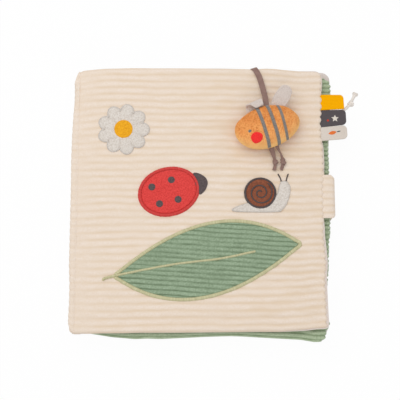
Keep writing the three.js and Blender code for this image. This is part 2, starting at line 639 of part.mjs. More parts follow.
function addWings() {
  const right = plate(wingOutline(WING_LENGTH, WING_WIDTH), WING_THICKNESS);
  const rightRoot = beePlace(RIGHT_WING_PLACE_SHARES);
  right.translate(0, 0, -WING_THICKNESS / 2);
  right.rotateY(-radians(RIGHT_WING_RISE)).rotateZ(radians(RIGHT_WING_TURN));
  right.translate(rightRoot.x, rightRoot.y, BEE_Z);
  addPiece('bee_right_wing', cutByBee(right, SEAM_GAP), WING_GREY);

  const radius = LEFT_WING_CURL_RADIUS;
  const curl = new THREE.Shape();
  const turn = radians(LEFT_WING_CURL_ANGLE);
  curl.absarc(0, 0, radius, -turn / 2, turn / 2, false);
  curl.absarc(0, 0, radius - WING_THICKNESS, turn / 2, -turn / 2, true);
  const left = new THREE.ExtrudeGeometry(curl, {
    depth: LEFT_WING_LENGTH, bevelEnabled: false, curveSegments: LEFT_WING_CURL_STEPS,
  });
  left.applyMatrix4(new THREE.Matrix4().makeBasis(Z_AXIS.clone().negate(), Y_AXIS, X_AXIS));
  const leftRoot = beePlace(LEFT_WING_PLACE_SHARES);
  const petal = plate(wingOutline(LEFT_WING_LENGTH, 3 * radius), 4 * radius).translate(0, 0, -2 * radius);
  const shaped = toSolid(left).intersect(toSolid(petal));
  const wing = toGeometry(shaped);
  wing.rotateZ(radians(LEFT_WING_TURN));
  wing.translate(leftRoot.x, leftRoot.y, BEE_Z + radius + LEFT_WING_LIFT);
  addPiece('bee_left_wing', cutByBee(wing, SEAM_GAP), WING_GREY);
}

function addLegs() {
  for (const leg of LEG_ROUTES) {
    const strip = ribbonStrip(leg.route, LEG_WIDTHS, RIBBON_THICKNESS, LEG_STEPS);
    const knot = lump(LEG_KNOT_WIDTH, LEG_KNOT_LENGTH, LEG_KNOT_THICKNESS, leg.knot, 0);
    addPiece(`bee_${leg.name}`, cutByBee(joined(strip, knot), SEAM_GAP), TAUPE);
  }
}

function addBeeRibbon() {
  const widths = [RIBBON_WIDTH, RIBBON_WIDTH];
  const front = ribbonStrip(RIBBON_FRONT_ROUTE, widths, RIBBON_THICKNESS, RIBBON_FRONT_STEPS);
  const back = ribbonStrip(RIBBON_BACK_ROUTE, widths, RIBBON_THICKNESS, RIBBON_STEPS);
  addPiece('bee_ribbon_back', back, TAUPE);
  addPiece('bee_ribbon_front', cutByBee(front, CLEARANCE), TAUPE);
}

// Place a piece of appliqué on the cover
function addApplied(name, geometry, colour, spot, lift = 0) {
  geometry.rotateZ(radians(spot.turn ?? 0));
  geometry.translate(spot.x, spot.y, APPLIED_Z + lift);
  addPiece(name, geometry, colour, 0.85);
}

// Satin-stitched border that runs round a cloth shape
function border(points) {
  return plate(insetOutline(points, -BORDER_WIDTH), BORDER_HEIGHT, insetOutline(points, -CLEARANCE));
}

function addLeafPatch() {
  const { length, height, bulgeShare, waleTurn } = LEAF_PATCH;
  const shape = new THREE.Shape();
  shape.moveTo(-length / 2, 0);
  shape.quadraticCurveTo(-length / 8, -height * bulgeShare, length / 2, 0);
  shape.quadraticCurveTo(length / 8, height * bulgeShare, -length / 2, 0);
  const points = shape.getPoints(BORDER_STEPS).slice(0, -1);
  const cloth = withWales(plate(points, PATCH_CLOTH), length, length, PATCH_CLOTH,
    GREEN_WALE_PITCH, GREEN_WALE_DEPTH, GREEN_WALE_SHARES, waleTurn);
  addApplied('leaf_patch', cloth, GREEN, LEAF_PATCH);
  addApplied('leaf_patch_border', border(points), SAGE, LEAF_PATCH);
  const vein = new THREE.BoxGeometry(length + LEAF_STALK - height / 2, LEAF_VEIN_WIDTH, PATCH_CLOTH / 2);
  vein.translate(-(LEAF_STALK + height / 2) / 2, 0, PATCH_CLOTH / 4);
  addApplied('leaf_patch_vein', vein, SAGE, LEAF_PATCH, BORDER_HEIGHT + CLEARANCE);
}

function addLadybird() {
  const { length, height } = LADYBIRD;
  const points = ellipsePoints(length, height);
  addApplied('ladybird_patch', plate(points, PATCH_CLOTH), RED, LADYBIRD);
  addApplied('ladybird_border', border(points), RED, LADYBIRD);
  const shares = LADYBIRD_HEAD_SHARES;
  const head = plate(ellipsePoints(length * shares.width, height * shares.height), PATCH_CLOTH);
  head.translate(length * shares.x, 0, 0);
  const room = plate(insetOutline(points, -BORDER_WIDTH - CLEARANCE), BORDER_HEIGHT + 2 * OVERRUN);
  addApplied('ladybird_head', cut(head, room.translate(0, 0, -OVERRUN)), CHARCOAL, LADYBIRD);
  LADYBIRD_SPOT_SHARES.forEach(([alongShare, acrossShare], i) => {
    const spot = plate(ellipsePoints(LADYBIRD_SPOT_DIAMETER, LADYBIRD_SPOT_DIAMETER, 16), PATCH_CLOTH / 2);
    spot.translate(length * alongShare, height * acrossShare, 0);
    addApplied(`ladybird_spot_${i + 1}`, spot, CHARCOAL, LADYBIRD, PATCH_CLOTH + CLEARANCE);
  });
}

function addDaisy() {
  const { diameter, petals, dipShare, centreShare } = DAISY;
  const count = petals * 10;
  const petalPoints = Array.from({ length: count }, (unused, i) => {
    const angle = 2 * Math.PI * i / count;
    const radius = diameter / 2 * (1 - dipShare + dipShare * Math.abs(Math.cos(petals * angle / 2)));
    return new THREE.Vector2(radius * Math.cos(angle), radius * Math.sin(angle));
  });
  addApplied('daisy_petals', plate(petalPoints, PATCH_CLOTH), PALE_GREY, DAISY);
  const centre = plate(ellipsePoints(diameter * centreShare, diameter * centreShare), PATCH_CLOTH / 2);
  addApplied('daisy_centre', centre, YELLOW, DAISY, PATCH_CLOTH + CLEARANCE);
}

function addSnail() {
  const { length, shellShare, shellShares } = SNAIL;
  const path = SNAIL_OUTLINE_SHARES.map(([x, y]) => new THREE.Vector3(x * length, y * length, 0));
  const curve = new THREE.CatmullRomCurve3(path, true);
  const points = curve.getPoints(SNAIL_OUTLINE_SHARES.length * 4).slice(0, -1)
    .map((point) => new THREE.Vector2(point.x, point.y));
  const shellSize = length * shellShare;
  const shellAt = new THREE.Vector2(length * shellShares[0], length * shellShares[1]);
  const shell = ellipsePoints(shellSize, shellSize).map((point) => point.add(shellAt));
  const body = plate(points, PATCH_CLOTH);
  const room = plate(insetOutline(shell, -BORDER_WIDTH / 2 - CLEARANCE), PATCH_CLOTH + 2 * OVERRUN);
  addApplied('snail_body', cut(body, room.translate(0, 0, -OVERRUN)), PALE_GREY, SNAIL);
  addApplied('snail_shell', plate(shell, PATCH_CLOTH), BROWN, SNAIL);
  const rim = plate(insetOutline(shell, -BORDER_WIDTH / 2), BORDER_HEIGHT, insetOutline(shell, -CLEARANCE));
  addApplied('snail_shell_border', rim, CHARCOAL, SNAIL);
}

addBackCover();
addSpine();
LEAVES.forEach((leaf, i) => addLeaf(leaf, i + 1));
addFrontCover();
addStrap();
addTabs();
addPullCord();
addLeafPatch();
addLadybird();
addDaisy();
addSnail();
addPiece('bee_body', beeBody(0), ORANGE);
addBeeFace();
addWings();
addLegs();
addBeeRibbon();

export default book;
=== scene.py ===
# %% [markdown]
# # A padded cloth activity book
# The book lies closed on its back cover. Its covers are cream corduroy over wadding,
# a plush bee hangs from a ribbon, and tabs and a knotted cord stick out of the fore-edge.
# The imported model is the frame: it says where each part is and which body carries it.
# Every piece made here is in metres in that same frame, so nothing has to be fitted later.

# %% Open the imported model
import math

import bpy
import numpy as np
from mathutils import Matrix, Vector


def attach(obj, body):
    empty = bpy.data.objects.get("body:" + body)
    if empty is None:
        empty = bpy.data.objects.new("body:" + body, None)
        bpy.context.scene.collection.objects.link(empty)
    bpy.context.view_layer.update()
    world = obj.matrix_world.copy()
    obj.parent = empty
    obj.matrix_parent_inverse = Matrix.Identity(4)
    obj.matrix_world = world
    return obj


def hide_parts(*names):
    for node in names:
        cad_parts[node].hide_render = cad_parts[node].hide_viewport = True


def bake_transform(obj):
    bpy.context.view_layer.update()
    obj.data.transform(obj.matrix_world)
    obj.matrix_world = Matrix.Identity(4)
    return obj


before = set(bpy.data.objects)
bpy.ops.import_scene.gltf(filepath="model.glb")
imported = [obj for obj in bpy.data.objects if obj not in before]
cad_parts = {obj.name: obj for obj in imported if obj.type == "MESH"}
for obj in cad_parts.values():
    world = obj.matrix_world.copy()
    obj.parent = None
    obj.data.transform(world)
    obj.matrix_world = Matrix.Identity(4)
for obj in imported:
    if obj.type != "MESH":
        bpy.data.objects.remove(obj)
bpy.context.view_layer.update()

MM = 0.001

# %% [markdown]
# ## Camera
# The photograph looks down on the book from well above its lower edge. A long lens, nearly a
# metre away, keeps the sides almost parallel. The shift moves the frame by a few pixels only.

# %% Camera
ELEVATION = math.radians(78)
DISTANCE = 0.9
SENSOR_MM, LENS_MM = 36, 96.9
SHIFT_X, SHIFT_Y = 0.005, 0.0035
AIM = Vector((0, 0, 15 * MM))
camera = bpy.data.objects.new("camera", bpy.data.cameras.new("camera"))
bpy.context.scene.collection.objects.link(camera)
away = Vector((0, -math.cos(ELEVATION), math.sin(ELEVATION)))
camera.location = AIM + away * DISTANCE
camera.rotation_euler = (-away).to_track_quat("-Z", "Y").to_euler()
camera.data.sensor_width = SENSOR_MM
camera.data.lens = LENS_MM
camera.data.shift_x = SHIFT_X
camera.data.shift_y = SHIFT_Y
bpy.context.scene.camera = camera
bpy.context.scene.view_settings.view_transform = "Standard"
print("camera at", [round(c, 3) for c in camera.location])

# %% [markdown]
# ## Colours and nodes
# A hex colour is how a colour looks on a screen. Shaders work with light, so each value goes
# through the sRGB curve once. One helper adds a node with its settings and its links, and the
# short ones after it give a name to each kind of node that the cloths share.

# %% Helpers for colours and nodes
def linear(colour):
    """sRGB hex to linear light: c / 12.92 near black, ((c + 0.055) / 1.055) ^ 2.4 above it."""
    parts = [int(colour[i:i + 2], 16) / 255 for i in (1, 3, 5)]
    return [c / 12.92 if c <= 0.04045 else ((c + 0.055) / 1.055) ** 2.4 for c in parts] + [1.0]


def add_node(tree, kind, settings=None, links=None):
    """Adds a node, sets its properties or sockets by name or number, and links its sockets."""
    node = tree.nodes.new(kind)
    for key, value in (settings or {}).items():
        if isinstance(key, str) and hasattr(node, key):
            setattr(node, key, value)
        else:
            node.inputs[key].default_value = value
    for key, source in (links or {}).items():
        tree.links.new(source, node.inputs[key])
    return node


def start_material(name, colour, roughness=0.9, sheen=0.0, sheen_colour="#ffffff", specular=0.3):
    """A material with one Principled shader whose constants are set straight on its sockets."""
    material = bpy.data.materials.new(name)
    material.use_nodes = True
    tree = material.node_tree
    tree.nodes.clear()
    shader = add_node(tree, "ShaderNodeBsdfPrincipled", {
        "Base Color": linear(colour), "Roughness": roughness, "Specular IOR Level": specular,
        "Sheen Weight": sheen, "Sheen Roughness": 0.5, "Sheen Tint": linear(sheen_colour)})
    add_node(tree, "ShaderNodeOutputMaterial", links={"Surface": shader.outputs[0]})
    material.diffuse_color = linear(colour)
    return material, tree, shader


def blend_colours(tree, factor, low, high):
    """The mix low * (1 - factor) + high * factor, where low or high is a hex or a socket."""
    node = add_node(tree, "ShaderNodeMix", {"data_type": "RGBA"}, {0: factor})
    for socket, value in ((6, low), (7, high)):
        if isinstance(value, str):
            node.inputs[socket].default_value = linear(value)
        else:
            tree.links.new(value, node.inputs[socket])
    return node.outputs[2]


# A wave texture whose scale is WAVE repeats once per unit
WAVE = 0.31416


def noise(tree, place, scale, detail, **more):
    """Random blotches about 1 / scale wide, with detail finer layers on top of them."""
    settings = {"Scale": scale, "Detail": detail, **more}
    return add_node(tree, "ShaderNodeTexNoise", settings, {"Vector": place}).outputs["Fac"]


def waves(tree, place, spacing, distortion, **more):
    """Parallel bands that repeat once per spacing, and waver with the distortion."""
    settings = {"Scale": WAVE / spacing, "Distortion": distortion, "Detail": 1.0, **more}
    return add_node(tree, "ShaderNodeTexWave", settings, {"Vector": place}).outputs["Fac"]


def ramp(tree, value, low, high, start=0.0, end=1.0):
    """A straight ramp: start where the value is low or less, end where it is high or more."""
    settings = {1: low, 2: high, 3: start, 4: end}
    return add_node(tree, "ShaderNodeMapRange", settings, {0: value}).outputs[0]


def times(tree, value, factor, clamp=False):
    """value * factor, held between 0 and 1 where clamp is true."""
    settings = {"operation": "MULTIPLY", "use_clamp": clamp, 1: factor}
    return add_node(tree, "ShaderNodeMath", settings, {0: value}).outputs[0]


def combine(tree, operation, first, second, clamp=False):
    """Two values joined by an operation such as ADD or MAXIMUM."""
    settings = {"operation": operation, "use_clamp": clamp}
    return add_node(tree, "ShaderNodeMath", settings, {0: first, 1: second}).outputs[0]


def object_place(tree):
    """The piece's own coordinates, in metres."""
    return add_node(tree, "ShaderNodeTexCoord").outputs["Object"]


def cloth_place(tree):
    """The piece's UV, in mm: along the thread or the tape, and across it."""
    return add_node(tree, "ShaderNodeUVMap", {"uv_map": "cloth"}).outputs[0]


def mapped(tree, place, **settings):
    """Coordinates that are scaled or turned."""
    return add_node(tree, "ShaderNodeMapping", settings, {"Vector": place}).outputs[0]


def mesh_value(tree, name):
    """A value that the mesh holds at each of its points."""
    return add_node(tree, "ShaderNodeAttribute", {"attribute_name": name}).outputs["Fac"]


def finish_shader(tree, shader, shade, height, strength, depth_mm):
    """Gives the shader its colour, and a bump of that strength and depth from the height."""
    tree.links.new(shade, shader.inputs["Base Color"])
    settings = {"Strength": strength, "Distance": depth_mm * MM}
    bump = add_node(tree, "ShaderNodeBump", settings, {"Height": height})
    tree.links.new(bump.outputs[0], shader.inputs["Normal"])


# %% [markdown]
# ## Floor and light
# A pale floor catches the soft shadow. To the camera it is mixed with a plain glow, as a
# product photographer's light table is, so it turns white without more light on the book.
# Most of the light is an even sky, so shadows stay soft; a wide lamp high on the upper left
# models the ribs, and a weak one in front lights the sides that face us.

# %% Floor and light
FLOOR_Z = -0.4 * MM
FLOOR_HALF = 4
FLOOR_GLOW = 0.96
floor_corners = [(FLOOR_HALF * x, FLOOR_HALF * y, FLOOR_Z) for x, y in ((-1, -1), (1, -1), (1, 1), (-1, 1))]
floor_mesh = bpy.data.meshes.new("floor")
floor_mesh.from_pydata(floor_corners, [], [(0, 1, 2, 3)])
floor = bpy.data.objects.new("floor", floor_mesh)
bpy.context.scene.collection.objects.link(floor)
floor_paint, tree, shader = start_material("light_table", "#f4f4f4", specular=0.0)
path = add_node(tree, "ShaderNodeLightPath")
seen = combine(tree, "MAXIMUM", path.outputs["Is Camera Ray"], path.outputs["Is Glossy Ray"])
share = times(tree, seen, FLOOR_GLOW)
glow = add_node(tree, "ShaderNodeEmission", {"Color": (1, 1, 1, 1), "Strength": 1.0})
mix = add_node(tree, "ShaderNodeMixShader", links={0: share, 1: shader.outputs[0], 2: glow.outputs[0]})
tree.links.new(mix.outputs[0], tree.nodes["Material Output"].inputs["Surface"])
floor_mesh.materials.append(floor_paint)

SKY_LEVEL = 0.69
world = bpy.data.worlds.new("studio")
bpy.context.scene.world = world
world.use_nodes = True
tree = world.node_tree
tree.nodes.clear()
path = add_node(tree, "ShaderNodeLightPath")
fill = add_node(tree, "ShaderNodeBackground", {"Color": linear("#fbfcff"), "Strength": SKY_LEVEL})
white = add_node(tree, "ShaderNodeBackground", {"Color": (1, 1, 1, 1), "Strength": 1.0})
mix = add_node(tree, "ShaderNodeMixShader", links={
    0: path.outputs["Is Camera Ray"], 1: fill.outputs[0], 2: white.outputs[0]})
add_node(tree, "ShaderNodeOutputWorld", links={"Surface": mix.outputs[0]})


def add_lamp(name, place, size, power, colour):
    """A square area lamp, with place and size in metres, that faces the middle of the book."""
    lamp = bpy.data.lights.new(name, "AREA")
    lamp.size, lamp.energy, lamp.color = size, power, linear(colour)[:3]
    holder = bpy.data.objects.new(name, lamp)
    bpy.context.scene.collection.objects.link(holder)
    holder.location = place
    holder.rotation_euler = (AIM - Vector(place)).to_track_quat("-Z", "Y").to_euler()


add_lamp("key_lamp", place=(-0.26, 0.33, 0.9), size=1.0, power=3.9, colour="#fffdf8")
add_lamp("fill_lamp", place=(0.2, -0.95, 0.8), size=0.8, power=1.3, colour="#fff8ee")

# %% [markdown]
# ## Shapes from arrays
# A cloth surface is a grid of points: each point is a function of two numbers. numpy works
# out the whole grid at once, and one helper turns points and faces into a Blender object
# that rides on its body and replaces its plain solids.

# %% Helpers for meshes
def grid_faces(rows, columns, around=False, start=0, flip=False):
    """Quads between neighbours of a row-by-row grid; around joins the last column to the first."""
    across = columns if around else columns - 1
    row, column = np.meshgrid(np.arange(rows - 1), np.arange(across), indexing="ij")
    beside = (column + 1) % columns
    quads = np.stack([row * columns + column, row * columns + beside,
                      (row + 1) * columns + beside, (row + 1) * columns + column], -1)
    quads = quads.reshape(-1, 4) + start
    return (quads[:, ::-1] if flip else quads).tolist()


def enclosed(points, faces):
    """Signed volume: the sum of a . (b x c) / 6 over all triangles, below zero if they face inwards."""
    total = 0.0
    for size in {len(face) for face in faces}:
        corner = points[np.array([face for face in faces if len(face) == size])]
        total += (corner[:, :1] * np.cross(corner[:, 1:-1], corner[:, 2:])).sum() / 6
    return total


def add_piece(name, points, faces, material, body=None, nodes=(), fields=None, uv=None, sharp=60):
    """Makes a closed mesh piece from points in millimetres, and hands it to the frame."""
    mesh = bpy.data.meshes.new(name)
    flat = np.asarray(points, float).reshape(-1, 3) * MM
    mesh.from_pydata(flat.tolist(), [], faces)
    if enclosed(flat, faces) < 0:
        mesh.flip_normals()
    mesh.materials.append(material)
    mesh.polygons.foreach_set("use_smooth", np.ones(len(mesh.polygons), bool))
    for field, values in (fields or {}).items():
        attribute = mesh.attributes.new(field, "FLOAT", "POINT")
        attribute.data.foreach_set("value", np.asarray(values, np.float32).ravel())
    if uv is not None:
        corner = np.zeros(len(mesh.loops), np.int32)
        mesh.loops.foreach_get("vertex_index", corner)
        layer = mesh.uv_layers.new(name="cloth")
        layer.data.foreach_set("uv", np.asarray(uv, np.float32).reshape(-1, 2)[corner].ravel())
    mesh.validate()
    mesh.update()
    mesh.set_sharp_from_angle(angle=math.radians(sharp))
    piece = bpy.data.objects.new(name, mesh)
    bpy.context.scene.collection.objects.link(piece)
    if body:
        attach(piece, body)
    if nodes:
        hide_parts(*nodes)
    return piece


def unit(vectors):
    """Vectors divided by their own lengths."""
    return vectors / np.maximum(np.linalg.norm(vectors, axis=-1, keepdims=True), 1e-12)


def hills(x, y, size, seed, count=20):
    """Gentle random hills of about -1 to 1: the sum of cosine waves in random directions,
    with wavelengths near size, so neighbouring points move together."""
    rng = np.random.default_rng(seed)
    turn = rng.uniform(0, 2 * np.pi, count)
    length = size * rng.uniform(0.6, 1.7, count)
    phase = rng.uniform(0, 2 * np.pi, count)
    total = np.zeros(np.broadcast(x, y).shape)
    for angle, wave, start in zip(turn, length, phase):
        total += np.cos((x * np.cos(angle) + y * np.sin(angle)) * 2 * np.pi / wave + start)
    return total / np.sqrt(count / 2) / 1.6


def arc_length(line):
    """Distance walked along a line of points, at each point."""
    return np.concatenate([[0], np.cumsum(np.linalg.norm(np.diff(line, axis=0), axis=1))])


def at_steps(steps, walked, line):
    """The points of a line at the given distances along it, each coordinate by itself."""
    return np.stack([np.interp(steps, walked, line[:, k]) for k in range(line.shape[1])], -1)


def smooth_line(points, count):
    """Catmull-Rom curve through the points, at equal steps of arc length."""
    p = np.asarray(points, float)
    p = np.vstack([2 * p[0] - p[1], p, 2 * p[-1] - p[-2]])
    t = np.linspace(0, len(p) - 3 - 1e-9, 40 * len(p))
    i = t.astype(int)
    f = (t - i)[:, None]
    a, b, c, d = p[i], p[i + 1], p[i + 2], p[i + 3]
    square = (2 * a - 5 * b + 4 * c - d) * f ** 2
    cube = (3 * b - a - 3 * c + d) * f ** 3
    fine = 0.5 * (2 * b + (c - a) * f + square + cube)
    walked = arc_length(fine)
    return at_steps(np.linspace(0, walked[-1], count), walked, fine)


def sweep(line, side, profile):
    """A profile carried along a path: point = centre + a * side + b * up for each (a, b)."""
    ahead = unit(np.gradient(line, axis=0))
    side = unit(side - ahead * (side * ahead).sum(-1, keepdims=True))
    up = np.cross(side, ahead)
    profile = np.broadcast_to(profile, (len(line), *np.shape(profile)[-2:]))
    return line[:, None] + profile[..., :1] * side[:, None] + profile[..., 1:] * up[:, None]


def swept_faces(rows, columns, start=0):
    """The skin of a closed profile along a path, with a flat cap at each end."""
    faces = grid_faces(rows, columns, around=True, start=start, flip=True)
    first = list(range(start, start + columns))
    last = [i + (rows - 1) * columns for i in first]
    return faces + [first, last[::-1]]


def loop_direction(line):
    """Unit direction at each point of a closed line, from the points before and after it."""
    return unit(np.roll(line, -1, 0) - np.roll(line, 1, 0))


def looped_faces(rows, columns):
    """The skin of a closed profile along a closed path, whose last row joins the first."""
    index = np.arange(rows * columns).reshape(rows, columns)
    index = np.vstack([index, index[:1]])
    beside = np.roll(index, -1, 1)
    return np.stack([index[:-1], index[1:], beside[1:], beside[:-1]], -1).reshape(-1, 4).tolist()


def ring(sides, wide=1.0, high=1.0, power=2.0):
    """A closed oval: (wide * cos t, high * sin t), squarer where power is above 2."""
    t = np.arange(sides) * 2 * np.pi / sides
    c, s = np.cos(t), np.sin(t)
    c, s = np.sign(c) * np.abs(c) ** (2 / power), np.sign(s) * np.abs(s) ** (2 / power)
    return np.stack([wide * c, high * s], -1)


def turned_by(points, angle):
    """Points turned by an angle in radians: (x cos - y sin, x sin + y cos)."""
    x, y = points[..., 0], points[..., 1]
    c, s = math.cos(angle), math.sin(angle)
    return np.stack([x * c - y * s, x * s + y * c], -1)


# %% [markdown]
# ## Ribbon
# The bee hangs from a narrow cotton tape. It is sewn in at the spine, runs flat behind the
# cover, folds over the top edge and goes into the bee's back. It is one profile carried along
# one path. Its width is level in the book, slants over the fold and then points along X.
# Tape is plain woven: fine ribs lie across it, its colour is a little uneven, and it is matt.

# %% Tape material
def tape_material(name, colour, dark):
    """Woven cotton tape: ribs every 0.55 mm across the width, drawn on the piece's own UV in mm."""
    material, tree, shader = start_material(name, colour, roughness=0.86, sheen=0.12, sheen_colour=colour)
    cloth = cloth_place(tree)
    ribs = waves(tree, cloth, 0.55, 0.4)
    shade = blend_colours(tree, noise(tree, cloth, 0.35, 3.0), dark, colour)
    shade = blend_colours(tree, times(tree, ribs, 0.3), shade, dark)
    finish_shader(tree, shader, shade, ribs, 0.5, 0.12)
    return material


taupe_tape = tape_material("woven_cotton_tape_taupe", "#a2867c", "#80655d")

# %% Ribbon from the spine to the bee
RIBBON_ROUTE = [
    (-94, 94, 25), (-65, 95.6, 25), (-20, 98, 25), (38, 101.2, 25), (44.6, 103.6, 25),
    (45.6, 107.6, 24.95), (46.2, 110.6, 25.9), (46.6, 111.7, 28.4), (47.4, 111.0, 30.8),
    (48.6, 109.2, 31.6), (50.2, 106.2, 31.65), (51.6, 103, 31.65), (53.3, 97.4, 31.8),
    (54.9, 90, 33.6), (55.9, 83.2, 37), (56.4, 77, 39.8), (56.7, 74, 40.4)]
RIBBON_STEPS = 200
RIBBON_HALF_WIDTH, RIBBON_HALF_THICKNESS, RIBBON_CUP = 2.4, 0.42, 0.16
# The width points this way over the fold, after the hidden run and before the front run
FOLD_SIDE = [0.95, 0.31, 0]
HIDDEN_BELOW_Z, HIDDEN_BEFORE_Y = 25.3, 107.4
FRONT_RUN, TURN_LENGTH = 34, 6
ROLL_ANGLE, ROLL_FROM = np.radians(9), 160
upwards = np.array([0, 0, 1.0])
ribbon_line = smooth_line(RIBBON_ROUTE, RIBBON_STEPS)
walked = arc_length(ribbon_line)
ahead = unit(np.gradient(ribbon_line, axis=0))
hidden = (ribbon_line[:, 2:] < HIDDEN_BELOW_Z) & (ribbon_line[:, 1:2] < HIDDEN_BEFORE_Y)
ribbon_side = np.where(hidden, np.cross(upwards, ahead), FOLD_SIDE)
past_fold = np.clip((walked - walked[-1] + FRONT_RUN) / TURN_LENGTH, 0, 1)[:, None]
ribbon_side = unit(ribbon_side * (1 - past_fold) + np.array([1.0, 0, 0]) * past_fold)
# Free cloth is never quite flat: the tape is cupped, and its front run rolls a little
roll = ROLL_ANGLE * np.sin(walked / 11) * np.clip((walked - ROLL_FROM) / 8, 0, 1)
ribbon_side = ribbon_side * np.cos(roll)[:, None] + np.cross(ahead, ribbon_side) * np.sin(roll)[:, None]
tape = ring(20, RIBBON_HALF_WIDTH, RIBBON_HALF_THICKNESS, power=5)
tape[:, 1] -= RIBBON_CUP * (tape[:, 0] / RIBBON_HALF_WIDTH) ** 2
ribbon_points = sweep(ribbon_line, ribbon_side, tape)
ribbon_uv = np.stack(np.broadcast_arrays(walked[:, None], tape[None, :, 0]), -1)
bee_ribbon = add_piece("bee_ribbon", ribbon_points, swept_faces(RIBBON_STEPS, len(tape)), taupe_tape,
                       nodes=("bee_ribbon_back", "bee_ribbon_front"),
                       uv=ribbon_uv, sharp=50)
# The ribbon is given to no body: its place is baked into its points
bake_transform(bee_ribbon)
print("ribbon length in mm:", round(walked[-1], 1))

# %% [markdown]
# ## Pull cord
# A soft cotton cord sticks out behind the tabs. It is laid from three strands, which show as
# slanting ridges, it has an overhand knot, and past the knot its end is frayed.
# The cord is a tube whose radius swells three times round and turns as it goes along.
# The knot is a second tube on a trefoil, and the fray is a bunch of fine separate strands.

# %% Cotton cord material
def cotton_material(name, colour, dark, thread_mm):
    """Soft cotton: fibres of that thickness in mm show as fine noise, with darker patches."""
    material, tree, shader = start_material(name, colour, roughness=0.92, sheen=0.25)
    place = object_place(tree)
    fibre = noise(tree, place, 1 / (thread_mm * MM), 3.0)
    patch = ramp(tree, noise(tree, place, 950.0, 3.0), 0.32, 0.62)
    finish_shader(tree, shader, blend_colours(tree, patch, dark, colour), fibre, 0.6, 0.15)
    return material


cotton_white = cotton_material("laid_cotton_cord_white", "#efe8e1", "#dfd5cb", thread_mm=0.35)

# %% Pull cord, knot and frayed end
CORD_ROUTE = [
    (104.6, 73.5, 26), (112, 74.2, 26), (119, 74.6, 25.8), (123.3, 76.8, 25.2), (127, 80.4, 24.4),
    (129, 82.9, 24), (130.3, 85.8, 23.5), (132, 89, 23), (132.6, 90.2, 22.8)]
CORD_RADIUS = 1.25
CORD_STEPS, CORD_SIDES, CORD_LAY = 90, 18, 4.4
KNOT_STEPS, KNOT_SIDES, KNOT_LAY = 96, 14, 4.2
KNOT_SIZE, KNOT_TURN, KNOT_PLACE = [0.62, 0.56, 0.8], np.radians(48), [128.9, 82.4, 24]
cord_line = smooth_line(CORD_ROUTE, CORD_STEPS)
walked = arc_length(cord_line)


def laid(radius, sides, lay, walked):
    """Three laid strands: radius * (0.92 + 0.12 * |cos| of 1.5 times the angle from the helix)."""
    angle = np.arange(sides) * 2 * np.pi / sides
    swell = 0.92 + 0.12 * np.abs(np.cos(1.5 * (angle[None] - 2 * np.pi * walked[:, None] / lay)))
    return np.stack([radius * swell * np.cos(angle), radius * swell * np.sin(angle)], -1)


cord_side = np.cross(upwards, np.gradient(cord_line, axis=0))
cord_points = sweep(cord_line, cord_side, laid(CORD_RADIUS, CORD_SIDES, CORD_LAY, walked))
pull_cord = add_piece("cotton_pull_cord", cord_points, swept_faces(CORD_STEPS, CORD_SIDES), cotton_white,
                      "front_cover", nodes=("pull_cord",))

turn = np.linspace(0, 2 * np.pi, KNOT_STEPS + 1)[:-1]
trefoil = np.stack([np.sin(turn) + 2 * np.sin(2 * turn), np.cos(turn) - 2 * np.cos(2 * turn),
                    -np.sin(3 * turn)], -1) * KNOT_SIZE
knot_line = np.concatenate([turned_by(trefoil, KNOT_TURN), trefoil[:, 2:]], -1) + KNOT_PLACE
knot_ahead = loop_direction(knot_line)
knot_side = unit(np.cross(upwards, knot_ahead))
knot_up = np.cross(knot_side, knot_ahead)
strand = laid(CORD_RADIUS, KNOT_SIDES, KNOT_LAY, arc_length(knot_line))
knot_points = knot_line[:, None] + strand[..., :1] * knot_side[:, None] + strand[..., 1:] * knot_up[:, None]
cord_knot = add_piece("cord_knot", knot_points, looped_faces(KNOT_STEPS, KNOT_SIDES), cotton_white,
                      "front_cover", nodes=("pull_cord_knot",))


def fray(start, out, count, length, spread, radius, seed):
    """Loose strands from one place: each is a thin tapering tube that bends away from the rest."""
    rng = np.random.default_rng(seed)
    steps, sides = 6, 5
    out = unit(np.asarray(out, float))
    side = unit(np.cross(upwards, out))
    lift = np.cross(out, side)
    angle = rng.uniform(0, 2 * np.pi, count)
    wide = spread * np.sqrt(rng.uniform(0, 1, count))
    away = (np.cos(angle) * wide)[:, None] * side + (0.6 * np.sin(angle) * wide)[:, None] * lift
    t = np.linspace(0, 1, steps)[None, :, None]
    lengths = (length * rng.uniform(0.7, 1.05, count))[:, None, None]
    lines = np.asarray(start) + 0.25 * away[:, None] + out * lengths * t + 0.75 * away[:, None] * t ** 2
    thick = radius * (1 - 0.6 * t[..., None])
    spin = np.arange(sides)[:, None] * 2 * np.pi / sides
    rings = lines[:, :, None] + thick * (np.cos(spin) * side + np.sin(spin) * lift)
    faces = [face for k in range(count) for face in swept_faces(steps, sides, start=k * steps * sides)]
    return rings.reshape(-1, 3), faces


# The fray starts a little before the cord's end and goes the way the cord goes there
tail_out = cord_line[-1] - cord_line[-6]
points, faces = fray(cord_line[-9], tail_out, count=260, length=5.2, spread=2.6, radius=0.42, seed=4)
cord_fray = add_piece("cord_frayed_end", points, faces, cotton_white, "front_cover")
print("pull cord length in mm:", round(walked[-1], 1))

# %% [markdown]
# ## Padded panels
# Covers and leaves are pillows: two cloths sewn together at the rim over a sheet of wadding.
# So one function makes half a pillow. Its grid is walked in cloth distance: from the seam the
# cloth goes up a quarter circle and then runs level, which packs the points where it bends.
# The half is closed by one flat face at the seam, where the wadding's middle would be.

